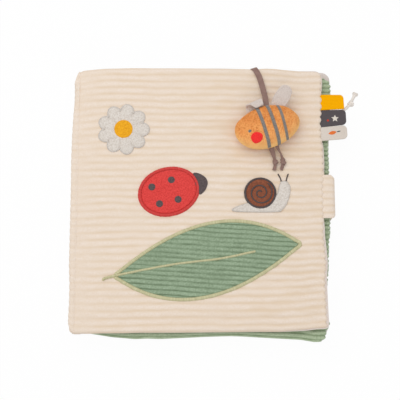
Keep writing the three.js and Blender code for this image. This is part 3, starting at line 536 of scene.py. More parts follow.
# %% Half a pillow as a grid
def cloth_steps(extent, radius, fine, coarse, border=7.0):
    """Cloth distances from seam to seam over a panel of that extent, closer near both seams."""
    total = extent - 2 * radius + math.pi * radius
    border = min(border, 0.3 * total)
    near = np.linspace(0, border, max(2, int(border / fine)) + 1)
    middle = np.linspace(border, total - border, max(2, int((total - 2 * border) / coarse)) + 1)
    return np.concatenate([near, middle[1:-1], total - near[::-1]]), total


def from_seam(steps, total, extent, radius):
    """Flat place of each cloth distance: R (1 - cos(s / R)) on the rolled edge, level after it."""
    near = np.minimum(steps, total - steps)
    turn = np.minimum(near / radius, np.pi / 2)
    inwards = radius * (1 - np.cos(turn)) + np.maximum(near - radius * np.pi / 2, 0)
    return np.where(steps < total / 2, inwards - extent / 2, extent / 2 - inwards)


def pillow_half(width, height, corner_radii, radius, row_step, column_step, edge_step=0.55):
    """Rows of points over a rounded rectangle. Corner radii go lower left, lower right, upper
    right, upper left. Returns x, y, the distance in from the outline and the rows' cloth places."""
    columns, across = cloth_steps(width, radius, edge_step, column_step)
    rows, along = cloth_steps(height, radius, min(edge_step, row_step), row_step)
    x, y = np.meshgrid(from_seam(columns, across, width, radius), from_seam(rows, along, height, radius))
    lower, right = y < 0, x > 0
    r = np.where(lower, np.where(right, corner_radii[1], corner_radii[0]),
                 np.where(right, corner_radii[2], corner_radii[3]))
    past = np.maximum(np.abs(y) - (height / 2 - r), 0)
    limit = width / 2 - r + np.sqrt(np.maximum(r ** 2 - past ** 2, 0))
    x = x * limit / (width / 2)
    qx, qy = np.abs(x) - (width / 2 - r), np.abs(y) - (height / 2 - r)
    inwards = r - np.hypot(np.maximum(qx, 0), np.maximum(qy, 0)) - np.minimum(np.maximum(qx, qy), 0)
    place = np.broadcast_to((rows - along / 2)[:, None], x.shape)
    return x, y, np.maximum(inwards, 0), place


def rolled(inwards, radius):
    """Height over the seam at a distance in from the outline: sqrt(R^2 - (R - d)^2), then level."""
    return np.sqrt(np.maximum(radius ** 2 - (radius - np.minimum(inwards, radius)) ** 2, 0))


def skew(x, y, width, height, corners):
    """Bilinear stretch of a rectangle onto four corners, given in the same order as the radii."""
    s, t = (x / width + 0.5)[..., None], (y / height + 0.5)[..., None]
    c = np.asarray(corners, float)
    place = (1 - s) * (1 - t) * c[0] + s * (1 - t) * c[1] + s * t * c[2] + (1 - s) * t * c[3]
    return place[..., 0], place[..., 1]


def grid_normals(points, side=1):
    """Unit normals of a grid of points from its differences along rows and columns."""
    return side * unit(np.cross(np.gradient(points, axis=1), np.gradient(points, axis=0)))


def closed_half(points, side=1):
    """Faces of a half pillow: its grid, and one flat face inside its rim."""
    rows, columns = points.shape[:2]
    index = np.arange(rows * columns).reshape(rows, columns)
    rim = np.concatenate([index[0], index[1:, -1], index[-1, -2::-1], index[-2:0:-1, 0]]).tolist()
    return grid_faces(rows, columns, flip=side < 0) + [rim[::-1] if side > 0 else rim]


def wale(place, pitch, power=2.4):
    """Rounded rib of corduroy: 1 at its crest, 0 in the groove, 1 - |s|^power across each rib."""
    s = 2 * ((place / pitch) % 1.0) - 1
    return 1 - np.abs(s) ** power


# %% [markdown]
# ## Stitches
# A topstitch is a row of short threads that dive into the cloth. One thread is a small
# capsule, and all of them are placed at once, each in its own direction along the seam.

# %% Helper for rows of stitches
def stitch_row(line, normals, length, gap, thick, sink=0.35):
    """Capsules of that length along a line; their ends sink into the cloth by a share of thick."""
    walked = arc_length(line)
    count = max(1, int(walked[-1] / (length + gap)))
    steps = sides = 6
    middle = (np.arange(count) + 0.5) * walked[-1] / count
    at = at_steps(middle, walked, line)
    up = unit(at_steps(middle, walked, normals))
    ahead = unit(at_steps(middle, walked, np.gradient(line, axis=0)))
    side = unit(np.cross(up, ahead))
    t = np.linspace(-1, 1, steps)
    swell = np.sqrt(np.maximum(1 - np.abs(t) ** 3, 0.03))[:, None] * thick / 2
    spin = np.arange(sides) * 2 * np.pi / sides
    dip = (-sink * thick * t ** 2)[:, None]
    rings = (at[:, None, None] + (t * length / 2)[None, :, None, None] * ahead[:, None, None]
             + (swell * np.cos(spin))[None, ..., None] * side[:, None, None]
             + (swell * np.sin(spin) + dip)[None, ..., None] * up[:, None, None])
    faces = [face for k in range(count) for face in swept_faces(steps, sides, start=k * steps * sides)]
    return rings.reshape(-1, 3), faces


# %% [markdown]
# ## Corduroy
# Corduroy is cotton whose extra threads are cut into ribs of soft pile. The jumbo kind has
# 4 or 5 ribs to the inch. The ribs catch the light and the grooves look warmer and darker.
# The ribs are real geometry. The material reads a "crest" value from the mesh, 0 in the
# grooves and 1 on the ribs, and goes from the groove colour to the crest colour with it; the
# groove colour is partly the ground weave's own tone and partly painted shade. It adds
# crushed pile, fibres and the slight unevenness of wear.

# %% Corduroy materials
def corduroy(name, crest, groove, worn, bars=0.0):
    """Cut-pile ribs: groove colour to crest colour by the mesh's crest value, with brushed pile.
    The groove colour is partly the ground weave's own tone and partly painted shade.
    Where bars is above 0, the weft shows as fine darker lines that cross the ribs 1 mm apart."""
    material, tree, shader = start_material(name, crest, roughness=0.95, sheen=0.2, sheen_colour=crest,
                                            specular=0.15)
    place = object_place(tree)
    # Pile is brushed along the rib, so its blotches are about four times as long as wide
    brushed = noise(tree, mapped(tree, place, Scale=(0.25, 1.0, 1.0)), 330.0, 3.0)
    lots = ramp(tree, brushed, 0.3, 0.7, -0.2, 0.2)
    height = combine(tree, "ADD", mesh_value(tree, "crest"), lots, clamp=True)
    # Groove colour to crest colour by the crest value: partly the weave's own tone, partly painted shade in
    # the grooves
    shade = blend_colours(tree, height, groove, crest)
    rubbed = ramp(tree, noise(tree, place, 38.0, 2.0), 0.42, 0.72, 0.0, 0.55)
    shade = blend_colours(tree, rubbed, shade, worn)
    speck = ramp(tree, noise(tree, place, 1000.0, 3.0), 0.38, 0.66, 0.0, 0.45)
    shade = blend_colours(tree, speck, shade, groove)
    if bars:
        weft = waves(tree, place, 1.0 * MM, 2.0)
        shade = blend_colours(tree, times(tree, weft, bars), shade, groove)
    pile = combine(tree, "ADD", brushed, noise(tree, place, 2600.0, 2.0))
    finish_shader(tree, shader, shade, pile, 0.55, 0.25)
    return material


# The second colour of each is the groove colour, partly the cloth's own tone and partly painted shade
cream_corduroy = corduroy("jumbo_corduroy_cream", "#f0e2d5", "#e4cfb6", "#ebdbca")
green_corduroy = corduroy("corduroy_sage_green", "#acc1a4", "#607256", "#99ad91", bars=0.3)
# The last leaf is the same sage corduroy painted lighter, as painted light against the shade that the cover
# casts on its strip
lit_green_corduroy = corduroy("corduroy_sage_green_painted_lighter", "#ccdabb", "#788a68", "#b6c6a6", bars=0.4)

# %% [markdown]
# ## Plain cotton
# The lining and the pages are plain-woven cotton: threads go over and under one another.
# Two crossed waves make the weave. Real threads are 0.3 mm apart; they are drawn at 0.6 mm,
# which is as fine as a picture of this size can show.

# %% Plain cotton materials
def plain_cotton(name, colour, shadow, thread_mm=0.6):
    """Plain weave: two crossed waves on object coordinates, with slubs and faint blotches."""
    material, tree, shader = start_material(name, colour, roughness=0.88, sheen=0.15)
    place = object_place(tree)
    warp = waves(tree, place, thread_mm * MM, 0.6, bands_direction="X")
    weft = waves(tree, place, thread_mm * MM, 0.6, bands_direction="Y")
    weave = combine(tree, "MAXIMUM", warp, weft)
    shade = blend_colours(tree, ramp(tree, weave, 0.0, 1.0, 0.25, 1.0), shadow, colour)
    fade = ramp(tree, noise(tree, place, 60.0, 4.0), 0.35, 0.75, 0.0, 0.35)
    finish_shader(tree, shader, blend_colours(tree, fade, shade, shadow), weave, 0.4, 0.1)
    return material


lining_cotton = plain_cotton("plain_cotton_lining", "#e2d7d0", "#d0c3bb")
page_cream = plain_cotton("plain_cotton_page_cream", "#eee5d8", "#ddd0be")
page_sage = plain_cotton("plain_cotton_page_sage", "#dfe5d9", "#c6cfbf")
sewing_thread = cotton_material("polyester_cotton_thread_cream", "#ece6df", "#dbd3c8", thread_mm=0.2)

# %% [markdown]
# ## Front cover
# The cover is the largest surface, so its small faults make it look sewn and not moulded:
# its edges wander by a millimetre, one corner is drawn up, the ribs bend a little,
# and the cloth puckers where it is pulled. All of these are added to the same grid.

# %% Front cover shape
FRONT_Z, FRONT_RADIUS = 28.3, 2.5
COVER_W, COVER_H = 208.0, 220.0
COVER_CORNERS = (4, 4, 6.5, 7)
CREAM_PITCH, CREAM_DEPTH = 5.78, 0.55
SPINE_SEAM_X = -101


def bell(value, middle, width):
    """exp(-((value - middle) / width)^2): 1 in the middle, fading to 0 on both sides."""
    return np.exp(-((value - middle) / width) ** 2)


# Where each edge really runs: (place along the edge, how far it lies past the plain rectangle)
TOP_CUT = [
    (-104, -0.9), (-96, 0.1), (-88, 1.0), (-80, 1.75), (-58, 2.2), (-20, 2.1), (20, 2.0), (42, 1.35),
    (48, 0.8), (53, 1.7), (57, 1.9), (64, 1.7), (72, 0.7), (84, -0.5), (104, -0.6)]
BOTTOM_CUT = [
    (-104, -1.4), (-88, -1.45), (-76, -1.1), (-60, -1.0), (-48, -0.65), (-20, -0.6), (18, -0.25),
    (45, 0.1), (66, 0.0), (76, 0.5), (86, 0.95), (95, 2.1), (101, 2.4), (104, 1.6)]
RIGHT_CUT = [
    (-110, -0.4), (-104, -0.1), (-97, -0.3), (-88, -0.5), (-80, -0.7), (-70, -0.9), (-64, -0.5),
    (-57, 0.3), (-50, 0.0), (-40, -0.7), (-33, -1.4), (-24, -1.3), (-17, -0.9), (10, -0.6), (20, 0.1),
    (32, 0.0), (40, -0.3), (46, -0.7), (52, -1.3), (63, -1.7), (70, -1.0), (83, -0.5), (90, -0.7),
    (100, 0.0), (110, 0.0)]
LEFT_CUT = [
    (-110, 0.45), (-97, 0.45), (-85, 0.8), (-70, 0.8), (-55, 0.05), (10, 0.0), (33, -0.3), (54, -0.05),
    (72, 0.65), (86, 1.6), (94, 2.3), (101, 1.0), (104, 1.1), (110, 1.6)]


def cut(place, table):
    """Shift of an edge at each place along it, straight between the places of its table."""
    places, shifts = np.array(table).T
    return np.interp(place, places, shifts)


def ease(value, start=0.0, length=1.0):
    """Smooth step w^2 (3 - 2 w), where w goes from 0 at start to 1 after that length."""
    w = np.clip((value - start) / length, 0, 1)
    return w * w * (3 - 2 * w)


def hand_cut(x, y):
    """The cover's outline as it was sewn: each edge's shift fades out towards the edge across."""
    s, t = ease(x / COVER_W + 0.5), ease(y / COVER_H + 0.5)
    return (x + cut(y, RIGHT_CUT) * s + cut(y, LEFT_CUT) * (1 - s),
            y + cut(x, TOP_CUT) * t + cut(x, BOTTOM_CUT) * (1 - t))


def seam_x(y):
    """Place of the topstitch beside the spine, which runs slightly askew."""
    return -100.1 + 0.9 * (110 - y) / 220


def cover_swell(x, y):
    """How far the padded cover stands above its level plane, in mm, without its ribs."""
    pulled = 1 + 1.1 * bell(x, 78, 34) * bell(y, 55, 50)
    puckers = (0.28 * hills(x * 0.45, y, 34, 11) + 0.15 * hills(x * 0.5, y, 13, 12)) * pulled
    broad = 0.5 * hills(x, y, 120, 13)
    corner = 0.9 * bell(x, -92, 16) * bell(y, 98, 14)
    seam = -0.15 * bell(x, seam_x(y), 0.9)
    drawn = 0.9 * bell(x, 60, 30) * bell(y, -92, 12) - 0.5 * bell(y, -101, 4)
    return puckers + broad + corner + seam + drawn


def cover_top(x, y):
    """Height of the front cover's face in the book's frame, in mm."""
    return FRONT_Z + FRONT_RADIUS + cover_swell(x, y)


def rib_wander(x, y):
    """How far a rib strays sideways, in mm: broad bends and small ones."""
    return 0.6 * hills(x, y, 90, 21) + 0.2 * hills(x, y, 26, 22)


def sunk(base, crest, depth, side=1):
    """A cloth with ribs: its grooves are sunk along the normal by (1 - crest) * depth."""
    return base + grid_normals(base, side) * ((crest - 1) * depth)[..., None]


x, y, inwards, place = pillow_half(COVER_W, COVER_H, COVER_CORNERS, FRONT_RADIUS,
                                   row_step=0.62, column_step=2.1)
wx, wy = hand_cut(x, y)
swell = cover_swell(wx, wy) * ease(inwards, 0, 9)
base = np.stack([wx, wy, FRONT_Z + rolled(inwards, FRONT_RADIUS) + swell], -1)
crest = wale(place + rib_wander(x, y), CREAM_PITCH, power=1.7)
# The ribs are fuller towards the fore-edge and the lower edge, and flat beside the spine
from_spine = ease(x, SPINE_SEAM_X, 26)
fullness = 0.45 + 0.3 * hills(x * 0.5, y, 20, 23) + 0.55 * np.clip((x - 10) / 70, 0, 1)
fullness = (fullness + 0.2 * np.clip(-y / 110, 0, 1)) * (0.25 + 0.75 * from_spine)
face = sunk(base, crest, CREAM_DEPTH * fullness)
# Each rib sticks out a little past the fore-edge seam
face[..., 0] += 0.75 * (crest - 0.35) * bell(inwards, 0, 1.6) * (x > 80)
# The value called rubbed here is painted shade: round the bee more of each rib takes the groove colour, for
# the bee's soft shadow and the warm light it throws back, and a weaker painted shade grows towards the lower
# right
rubbed = 0.75 * bell(x, 50, 50) * bell(y, 62, 48) + 0.36 * np.clip((x - y) / 200, 0, 1)
crest = crest - rubbed * np.clip(0.35 + 0.8 * hills(x * 0.35, y, 15, 27), 0, 1)
crest = crest + (0.75 - crest) * 0.6 * (1 - from_spine)
front_cover = add_piece("front_cover_cloth", face, closed_half(face), cream_corduroy, "front_cover",
                        nodes=("front_cover_corduroy", "front_cover_wadding"),
                        fields={"crest": crest})
print("front cover faces:", len(front_cover.data.polygons))

# %% [markdown]
# ## Lining of the front cover
# Plain cotton closes the inside of the cover. It is cut a little wider than the corduroy on
# the fore-edge, so it rolls out there and shows as a thin pale rim beside the ribs.

# %% Front cover lining
x, y, inwards, place = pillow_half(COVER_W, COVER_H, COVER_CORNERS, FRONT_RADIUS,
                                   row_step=2.6, column_step=2.6)
wx, wy = hand_cut(x, y)
RIM = [
    (-110, 1.5), (-95, 1.4), (-60, 1.3), (-24, 1.1), (-16, 0.0), (18, 0.0), (26, 0.7), (44, 0.8),
    (50, 0.0), (88, 0.0), (93, 0.6), (110, 0.5)]
rim = cut(wy, RIM) * np.clip((x - 60) / 40, 0, 1)
welt = 0.9 * np.minimum(rim, 1) * bell(inwards, 0, 1.2)
sag = -0.12 * hills(x, y, 60, 31) * np.clip(inwards / 8, 0, 1)
lining = np.stack([wx + rim, wy, FRONT_Z - rolled(inwards, FRONT_RADIUS) + sag - 0.05 + welt], -1)
front_lining = add_piece("front_cover_lining_cloth", lining, closed_half(lining, -1), lining_cotton,
                         "front_cover", nodes=("front_cover_lining",))

# %% [markdown]
# ## Back cover
# The back cover is made the same way. Its corduroy faces the table, so its half pillow points
# down, and its lining faces up, towards the first leaf.

# %% Back cover
BACK_W, BACK_H, BACK_RADIUS = 211.2, 219.0, 2.5
BACK_CORNERS = [(-104, -109), (107.2, -109), (107.2, 110), (-104, 110)]
BACK_CORNER_RADII = (4, 4, 4, 4)
x, y, inwards, place = pillow_half(BACK_W, BACK_H, BACK_CORNER_RADII, BACK_RADIUS,
                                   row_step=0.75, column_step=3.2)
wx, wy = skew(x, y, BACK_W, BACK_H, BACK_CORNERS)
crest = wale(place + 0.5 * hills(x, y, 90, 41), CREAM_PITCH)
base = np.stack([wx, wy, BACK_RADIUS - rolled(inwards, BACK_RADIUS)], -1)
puckers = np.maximum(0.12 * hills(x, y, 40, 42), 0) * np.clip(inwards / 8, 0, 1)
face = base + grid_normals(base, -1) * ((crest - 1) * CREAM_DEPTH - puckers)[..., None]
back_cover = add_piece("back_cover_cloth", face, closed_half(face, -1), cream_corduroy, "back_cover",
                       nodes=("back_cover_corduroy", "back_cover_wadding"),
                       fields={"crest": crest})

x, y, inwards, place = pillow_half(BACK_W, BACK_H, BACK_CORNER_RADII, BACK_RADIUS,
                                   row_step=2.8, column_step=2.8)
wx, wy = skew(x, y, BACK_W, BACK_H, BACK_CORNERS)
swell = 0.15 * hills(x, y, 50, 43) * np.clip(inwards / 8, 0, 1) - 0.5 * bell(inwards, 6, 0.9)
lining = np.stack([wx, wy, 2.55 + rolled(inwards, 2.45) + swell], -1)
back_lining = add_piece("back_cover_lining_cloth", lining, closed_half(lining), lining_cotton,
                        "back_cover", nodes=("back_cover_lining",))

# %% [markdown]
# ## Leaves
# Four soft leaves lie between the covers. They are cut by eye, so each is a slightly different
# four-sided shape and some stick out: the pale corner at the upper right, and the corduroy
# leaf at the fore-edge and below. A topstitch 6 mm from the rim draws in each plain face.

# %% Leaves
LEAF_LEFT, LEAF_TOP, LEAF_RADIUS = -98.7, 109.0, 2.2
LEAF_CORNER_RADII = (6, 6, 8, 6)
FIRST_LEAF_Z, LEAF_PITCH = 7.6, 4.8
GREEN_PITCH, GREEN_DEPTH = 3.85, 0.72
# The lower and the upper corner at the fore-edge, then the front and the back cloth
LEAVES = [
    ((104, -108), (105, 108.5), (page_cream, "page_cream"), (lining_cotton, "lining_cotton")),
    ((105, -108.5), (106, 108), (page_sage, "page_sage"), (lining_cotton, "lining_cotton")),
    ((104, -108.5), (112.6, 111.9), (lining_cotton, "lining_cotton"), (page_cream, "page_cream")),
    ((106.7, -116.5), (111.7, 105.2), (lit_green_corduroy, "green_corduroy"), (page_sage, "page_sage"))]
GREEN_BOTTOM_CUT = [
    (-98.7, 0), (-83, -1.9), (-69, -3.6), (-50, -4.4), (-40, -3.6), (-30, -3.6), (-11, -2.1), (8, -0.5),
    (28, 0.8), (38, 0.9), (57, 0.5), (86, 0), (97, -1.4), (104, -1.0)]
GREEN_RIGHT_CUT = [
    (-116, -3.7), (-109, -3.4), (-102, -0.4), (-96, -2.8), (-82, -4), (-70, -2.5), (-62, -1.7),
    (-52, -1.3), (-36, -1.0), (-28, 0), (-16, 0.2), (20, -0.6), (45, -1.4), (60, -0.8), (88, 0.4), (103, 0.8)]


def leaf_cloth(number, side, lower, upper, ribbed):
    """One face of a leaf: a half pillow on its four corners. The last leaf has its own wavy cut
    and, where it is ribbed, ribs that take the place of the topstitch's groove."""
    width, height = (lower[0] + upper[0]) / 2 - LEAF_LEFT, 2 * LEAF_TOP
    row_step = 0.5 if ribbed else 3.0
    x, y, inwards, place = pillow_half(width, height, LEAF_CORNER_RADII, LEAF_RADIUS,
                                       row_step, column_step=2.6)
    wx, wy = skew(x, y, width, height, [(LEAF_LEFT, -LEAF_TOP), lower, upper, (LEAF_LEFT, LEAF_TOP)])
    if number == len(LEAVES):
        s, t = ease(x / width + 0.5), ease(y / height + 0.5)
        wx, wy = wx + cut(wy, GREEN_RIGHT_CUT) * s, wy + cut(wx, GREEN_BOTTOM_CUT) * (1 - t)
        wx = wx + 1.1 * (wale(place, GREEN_PITCH) - 0.6) * bell(inwards, 0, 1.6) * (x > 80)
    swell = 0.12 * hills(x, y, 45, 50 + number) * np.clip(inwards / 8, 0, 1)
    if not ribbed:
        swell = swell - 0.55 * bell(inwards, 6, 0.8)
    middle = FIRST_LEAF_Z + LEAF_PITCH * (number - 1)
    base = np.stack([wx, wy, middle + side * (0.04 + rolled(inwards, LEAF_RADIUS - 0.04) + swell)], -1)
    if not ribbed:
        return base, None
    crest = wale(place + 0.3 * hills(x, y, 70, 61), GREEN_PITCH)
    return sunk(base, crest, GREEN_DEPTH, side), {"crest": crest}


for number, (lower, upper, *cloths) in enumerate(LEAVES, 1):
    for side, word, (cloth, slot) in zip((1, -1), ("front", "back"), cloths):
        face, fields = leaf_cloth(number, side, lower, upper, cloth is lit_green_corduroy)
        nodes = (f"leaf_{number}_{word}",) + ((f"leaf_{number}_wadding",) if side > 0 else ())
        leaf = add_piece(f"leaf_{number}_{word}_cloth", face, closed_half(face, side), cloth,
                         f"leaf_{number}", nodes=nodes, fields=fields)
print("leaves made:", len(LEAVES))

# %% [markdown]
# ## Spine
# A padded strip stands between the covers. The cover cloth runs round it in one length, so
# each fold is a band round its corner. The band's ribs line up with the ribs of the covers.

# %% Spine strip
SPINE_X, SPINE_OUTER_X = -101.5, -104.3
SPINE_LONG, SPINE_MIDDLE_Z, SPINE_RADIUS = 19.6, 15.4, 2.2


def with_cover(points):
    """Takes the spine's cloth along with the front cover: its sewn outline and its swell, in full
    at the cover's face and not at all half way down, and its rounded corners, down to the last
    9 mm above the table."""
    x, y, z = np.moveaxis(points, -1, 0)
    share = ease(z, 16, 9)
    radius = np.where(y > 0, COVER_CORNERS[3] + 1, COVER_CORNERS[0] + 3)
    short = 1 - np.clip((x - SPINE_OUTER_X) / radius, 0, 1)
    near_end = np.clip((np.abs(y) - 92) / 18, 0, 1) ** 2
    drop = radius * (1 - np.sqrt(1 - short ** 2)) * near_end * ease(z, 0, 9)
    wx, wy = hand_cut(x, y)
    outer = ease(-x, 98.8, 5)
    inside = ease(x, -104, 9) * np.clip((COVER_H / 2 - np.abs(y)) / 9, 0, 1)
    face = np.clip((z - 27) / 3, 0, 1) * cover_swell(x, y) * inside
    return np.stack([x + (wx - x) * share * outer, y + (wy - y) * share - np.sign(y) * drop, z + face], -1)


x, y, inwards, place = pillow_half(SPINE_LONG, COVER_H - 1, (3, 3, 3, 3), SPINE_RADIUS,
                                   row_step=0.9, column_step=1.6)
crest = wale(place, CREAM_PITCH)
for side, name, cloth, slot, nodes in (
        (-1, "spine_cloth", cream_corduroy, "cream_corduroy", ("spine_corduroy", "spine_wadding")),
        (1, "spine_lining_cloth", lining_cotton, "lining_cotton", ("spine_lining",))):
    height = side * (0.03 + rolled(inwards, SPINE_RADIUS - 0.03))
    strip = np.stack([SPINE_X + height, y, SPINE_MIDDLE_Z + x], -1)
    if side < 0:
        strip = sunk(strip, crest, 0.5)
    strip = with_cover(strip)
    spine = add_piece(name, strip, closed_half(strip, side), cloth, "spine", nodes=nodes,
                      fields={"crest": crest} if side < 0 else None)

# %% Folds on both sides of the spine
def left_of(line):
    """Unit normals on the left of a flat line: its direction (a, b) turned to (-b, a)."""
    ahead = unit(np.gradient(line, axis=0))
    return np.stack([-ahead[:, 1], ahead[:, 0]], -1)


def along_spine(section, rows):
    """A cross-section, given as x and z, at each of the rows' places along the book's height."""
    shape = (len(rows), section.shape[-2])
    x, z = [np.broadcast_to(section[..., k], shape) for k in (0, 1)]
    return np.stack([x, np.broadcast_to(rows[:, None], shape), z], -1)


def rib_band(path, thick, depth):
    """A band of corduroy: its cross-section runs round the spine, and its ribs cross it.
    The crests lie on the path, the grooves are depth behind it, and the inner face is thick
    behind it. Both ends are drawn in."""
    reach = COVER_H / 2 - 0.6
    rows = np.linspace(-reach, reach, 330)
    line = smooth_line(path, 34)
    out = left_of(line)
    place = rows + rib_wander(SPINE_SEAM_X + 0 * rows, rows)
    crest = np.repeat(wale(place, CREAM_PITCH)[:, None], len(line), 1)
    end = np.sqrt(np.clip(1 - (np.abs(rows) / reach) ** 90, 0.05, 1))[:, None]
    push = (crest - 1) * depth * end - (1 - end) * 0.8
    outer = line[None] + out[None] * push[..., None]
    inner = line[None] - out[None] * (thick * (0.4 + 0.6 * end))[..., None]
    points = along_spine(np.concatenate([outer, inner[:, ::-1]], 1), rows)
    return points, swept_faces(*points.shape[:2]), np.concatenate([crest, crest[:, ::-1]], 1)


LOWER_PATH = [
    (-97.2, 0.6), (-99.0, 0.22), (-101.5, 0.12), (-103.9, 0.9), (-104.95, 2.9), (-105.1, 6.5),
    (-105.1, 15.38)]
UPPER_PATH = [
    (-105.1, 15.42), (-105.1, 24.0), (-105.05, 28.4), (-104.05, 30.5), (-102.1, 31.5), (-100.5, 31.4),
    (-99.1, 31.0)]
# Each band is baked in place and given to no body
for name, route, bodies, hinge_z, up in (
        ("spine_fold_lower", LOWER_PATH, ("back_cover", "spine"), BACK_RADIUS, 1),
        ("spine_fold_upper", UPPER_PATH, ("spine", "front_cover"), FRONT_Z, -1)):
    points, faces, values = rib_band(route, thick=0.9, depth=0.4)
    points = with_cover(points)
    band = add_piece(name, points, faces, cream_corduroy,
                     fields={"crest": 0.5 + 0.4 * values})
    middle = Vector((SPINE_X, 0, hinge_z)) * MM + Vector((-1, 0, -up)) * 1.8 * MM
    away = Vector((-up, 0, 1)) * 2.5 * MM
    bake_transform(band)

# %% Inner cloth over both joints
def plain_band(path, thick):
    """A strip of lining: a flat section along a short path, carried over the book's height."""
    line = smooth_line(path, 22)
    out = left_of(line) * thick / 2
    reach = COVER_H / 2 - 3.5
    return along_spine(np.concatenate([line + out, (line - out)[::-1]]), np.linspace(-reach, reach, 60))


LOWER_INSIDE = [(-92.0, 5.12), (-97.0, 5.12), (-98.5, 5.25), (-98.86, 6.2), (-98.9, 10.8)]
UPPER_INSIDE = [(-98.9, 20.0), (-98.86, 24.6), (-98.5, 25.5), (-97.0, 25.68), (-92.0, 25.68)]
for name, route, bodies, corner_z, up in (
        ("spine_inside_lower", LOWER_INSIDE, ("back_cover", "spine"), 5.2, 1),
        ("spine_inside_upper", UPPER_INSIDE, ("spine", "front_cover"), 25.6, -1)):
    points = plain_band(route, thick=0.22)
    band = add_piece(name, points, swept_faces(*points.shape[:2]), lining_cotton)
    away = Vector((-up, 0, 1)) * 1.6 * MM
    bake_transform(band)

# %% Topstitch beside the spine
rows = np.linspace(-106, 106, 400)
line = np.stack([seam_x(rows) + 0.25 * np.sin(rows / 19), rows, 0 * rows], -1)
line[:, 2] = cover_top(line[:, 0], rows) - 0.3
normals = np.broadcast_to(upwards, line.shape)
points, faces = stitch_row(line, normals, length=2.6, gap=0.9, thick=0.55)
add_piece("spine_topstitch", points, faces, sewing_thread, "front_cover")
print("spine topstitch faces:", len(faces))

# %% [markdown]
# ## Closing strap
# A strap of the same corduroy is sewn under the fore-edge, and turns down over the leaves to
# a hook-and-loop patch. It is one section carried along a bent path. Its ribs are cut from
# another place of the cloth, so they don't line up with the cover's.

# %% Strap
STRAP_PATH = [
    (101.6, 28.75), (105.5, 28.95), (108.9, 28.8), (111.2, 27.9), (112.2, 25.6), (112.2, 21.0),
    (111.7, 12.0), (111.45, 1.6)]
STRAP_STEPS, STRAP_HALF, STRAP_MIDDLE_Y = 90, 18.3, 1.3
strap_flat = smooth_line(STRAP_PATH, STRAP_STEPS)
strap_line = np.stack([strap_flat[:, 0], np.full(STRAP_STEPS, STRAP_MIDDLE_Y), strap_flat[:, 1]], -1)
strap_walk = arc_length(strap_line)
# The tongue narrows on both sides where it turns down, and then on its lower side only
taper = 0.6 * np.clip((strap_walk - 9) / 12, 0, 1)
strap_line[:, 1] += taper
half = STRAP_HALF - 1.7 * np.clip((strap_walk - 7.6) / 3.4, 0, 1) ** 2 - taper
across = np.linspace(-1, 1, 92)
edge = np.sqrt(np.clip(1 - np.abs(across) ** 24, 0, 1))
rib = wale(across * STRAP_HALF + 2.1, CREAM_PITCH)
upper = np.stack([across, edge + (rib - 1) * 0.6 * edge], -1)
lower = np.stack([across, -0.9 * edge], -1)
section = np.broadcast_to(np.concatenate([upper, lower[::-1]]), (STRAP_STEPS, 2 * len(across), 2)).copy()
section[..., 0] *= half[:, None]
crest = np.broadcast_to(np.concatenate([rib, rib[::-1]]), section.shape[:2])
strap_points = sweep(strap_line, np.broadcast_to([0, 1.0, 0], strap_line.shape), section)
strap = add_piece("closing_strap_cloth", strap_points, swept_faces(*section.shape[:2]), cream_corduroy,
                  "strap", nodes=("closing_strap",), fields={"crest": crest})

# %% [markdown]
# ## Tabs
# Three folded tabs are sewn into the fore-edge seam: yellow rib knit, charcoal jersey and pale
# cotton. Each is a thin whole pillow: two grids that share their rim. The knit's ribs are
# geometry. The two prints are this project's own small motifs: a star and a leaf.

# %% Whole pillows
def whole_pillow(top, bottom):
    """Points and faces of two grids with one common rim, renumbered so no point is left over,
    and the old number of each point that is kept."""
    rows, columns = top.shape[:2]
    upper = np.arange(rows * columns).reshape(rows, columns)
    lower = upper + rows * columns
    lower[[0, -1]], lower[:, [0, -1]] = upper[[0, -1]], upper[:, [0, -1]]
    quads = [np.stack([g[:-1, :-1], g[:-1, 1:], g[1:, 1:], g[1:, :-1]], -1).reshape(-1, 4)
             for g in (upper, lower)]
    quads = np.concatenate([quads[0], quads[1][:, ::-1]])
    used, fresh = np.unique(quads, return_inverse=True)
    points = np.concatenate([top.reshape(-1, 3), bottom.reshape(-1, 3)])[used]
    return points, fresh.reshape(-1, 4).tolist(), used


def disc(count):
    """A grid over the unit disc without a pole: x = s sqrt(1 - t^2 / 2), y = t sqrt(1 - s^2 / 2).
    Returns x, y and the distance from the middle."""
    line = np.sin(np.linspace(-np.pi / 2, np.pi / 2, count))
    s, t = np.meshgrid(line, line)
    x, y = s * np.sqrt(1 - t ** 2 / 2), t * np.sqrt(1 - s ** 2 / 2)
    return x, y, np.hypot(x, y)


# %% Tab materials
def knit(name, crest, groove):
    """Fine rib knit: the ribs are in the mesh, and small slanted loops lie along each of them.
    The grooves between the ribs are painted darker as shade.
    """
    material, tree, shader = start_material(name, crest, roughness=0.92, sheen=0.05, sheen_colour=crest,
                                            specular=0.08)
    slanted = mapped(tree, object_place(tree), Rotation=(0, 0, 0.5))
    loops = waves(tree, slanted, 0.7 * MM, 1.2)
    # Painted shade: the grooves between the ribs take the darker colour
    shade = blend_colours(tree, mesh_value(tree, "crest"), groove, crest)
    shade = blend_colours(tree, times(tree, loops, 0.18), shade, groove)
    finish_shader(tree, shader, shade, loops, 0.5, 0.15)
    return material


# The second colour is the groove colour, painted darker as shade between the ribs
yellow_knit = knit("rib_knit_yellow", "#ffb700", "#f2a400")
charcoal_jersey = plain_cotton("cotton_jersey_charcoal", "#5c5557", "#474144", thread_mm=0.5)
pale_cotton = plain_cotton("plain_cotton_pale", "#dfd5cb", "#d0c4b7", thread_mm=0.55)
print_red = plain_cotton("pigment_print_red", "#c9402f", "#b03627", thread_mm=0.5)
print_pale = plain_cotton("pigment_print_pale", "#e4ddd2", "#cfc5b6", thread_mm=0.5)
print_orange = plain_cotton("pigment_print_orange", "#ee7c3a", "#d96c2e", thread_mm=0.5)
print_grey = plain_cotton("pigment_print_grey", "#55595c", "#44484b", thread_mm=0.5)

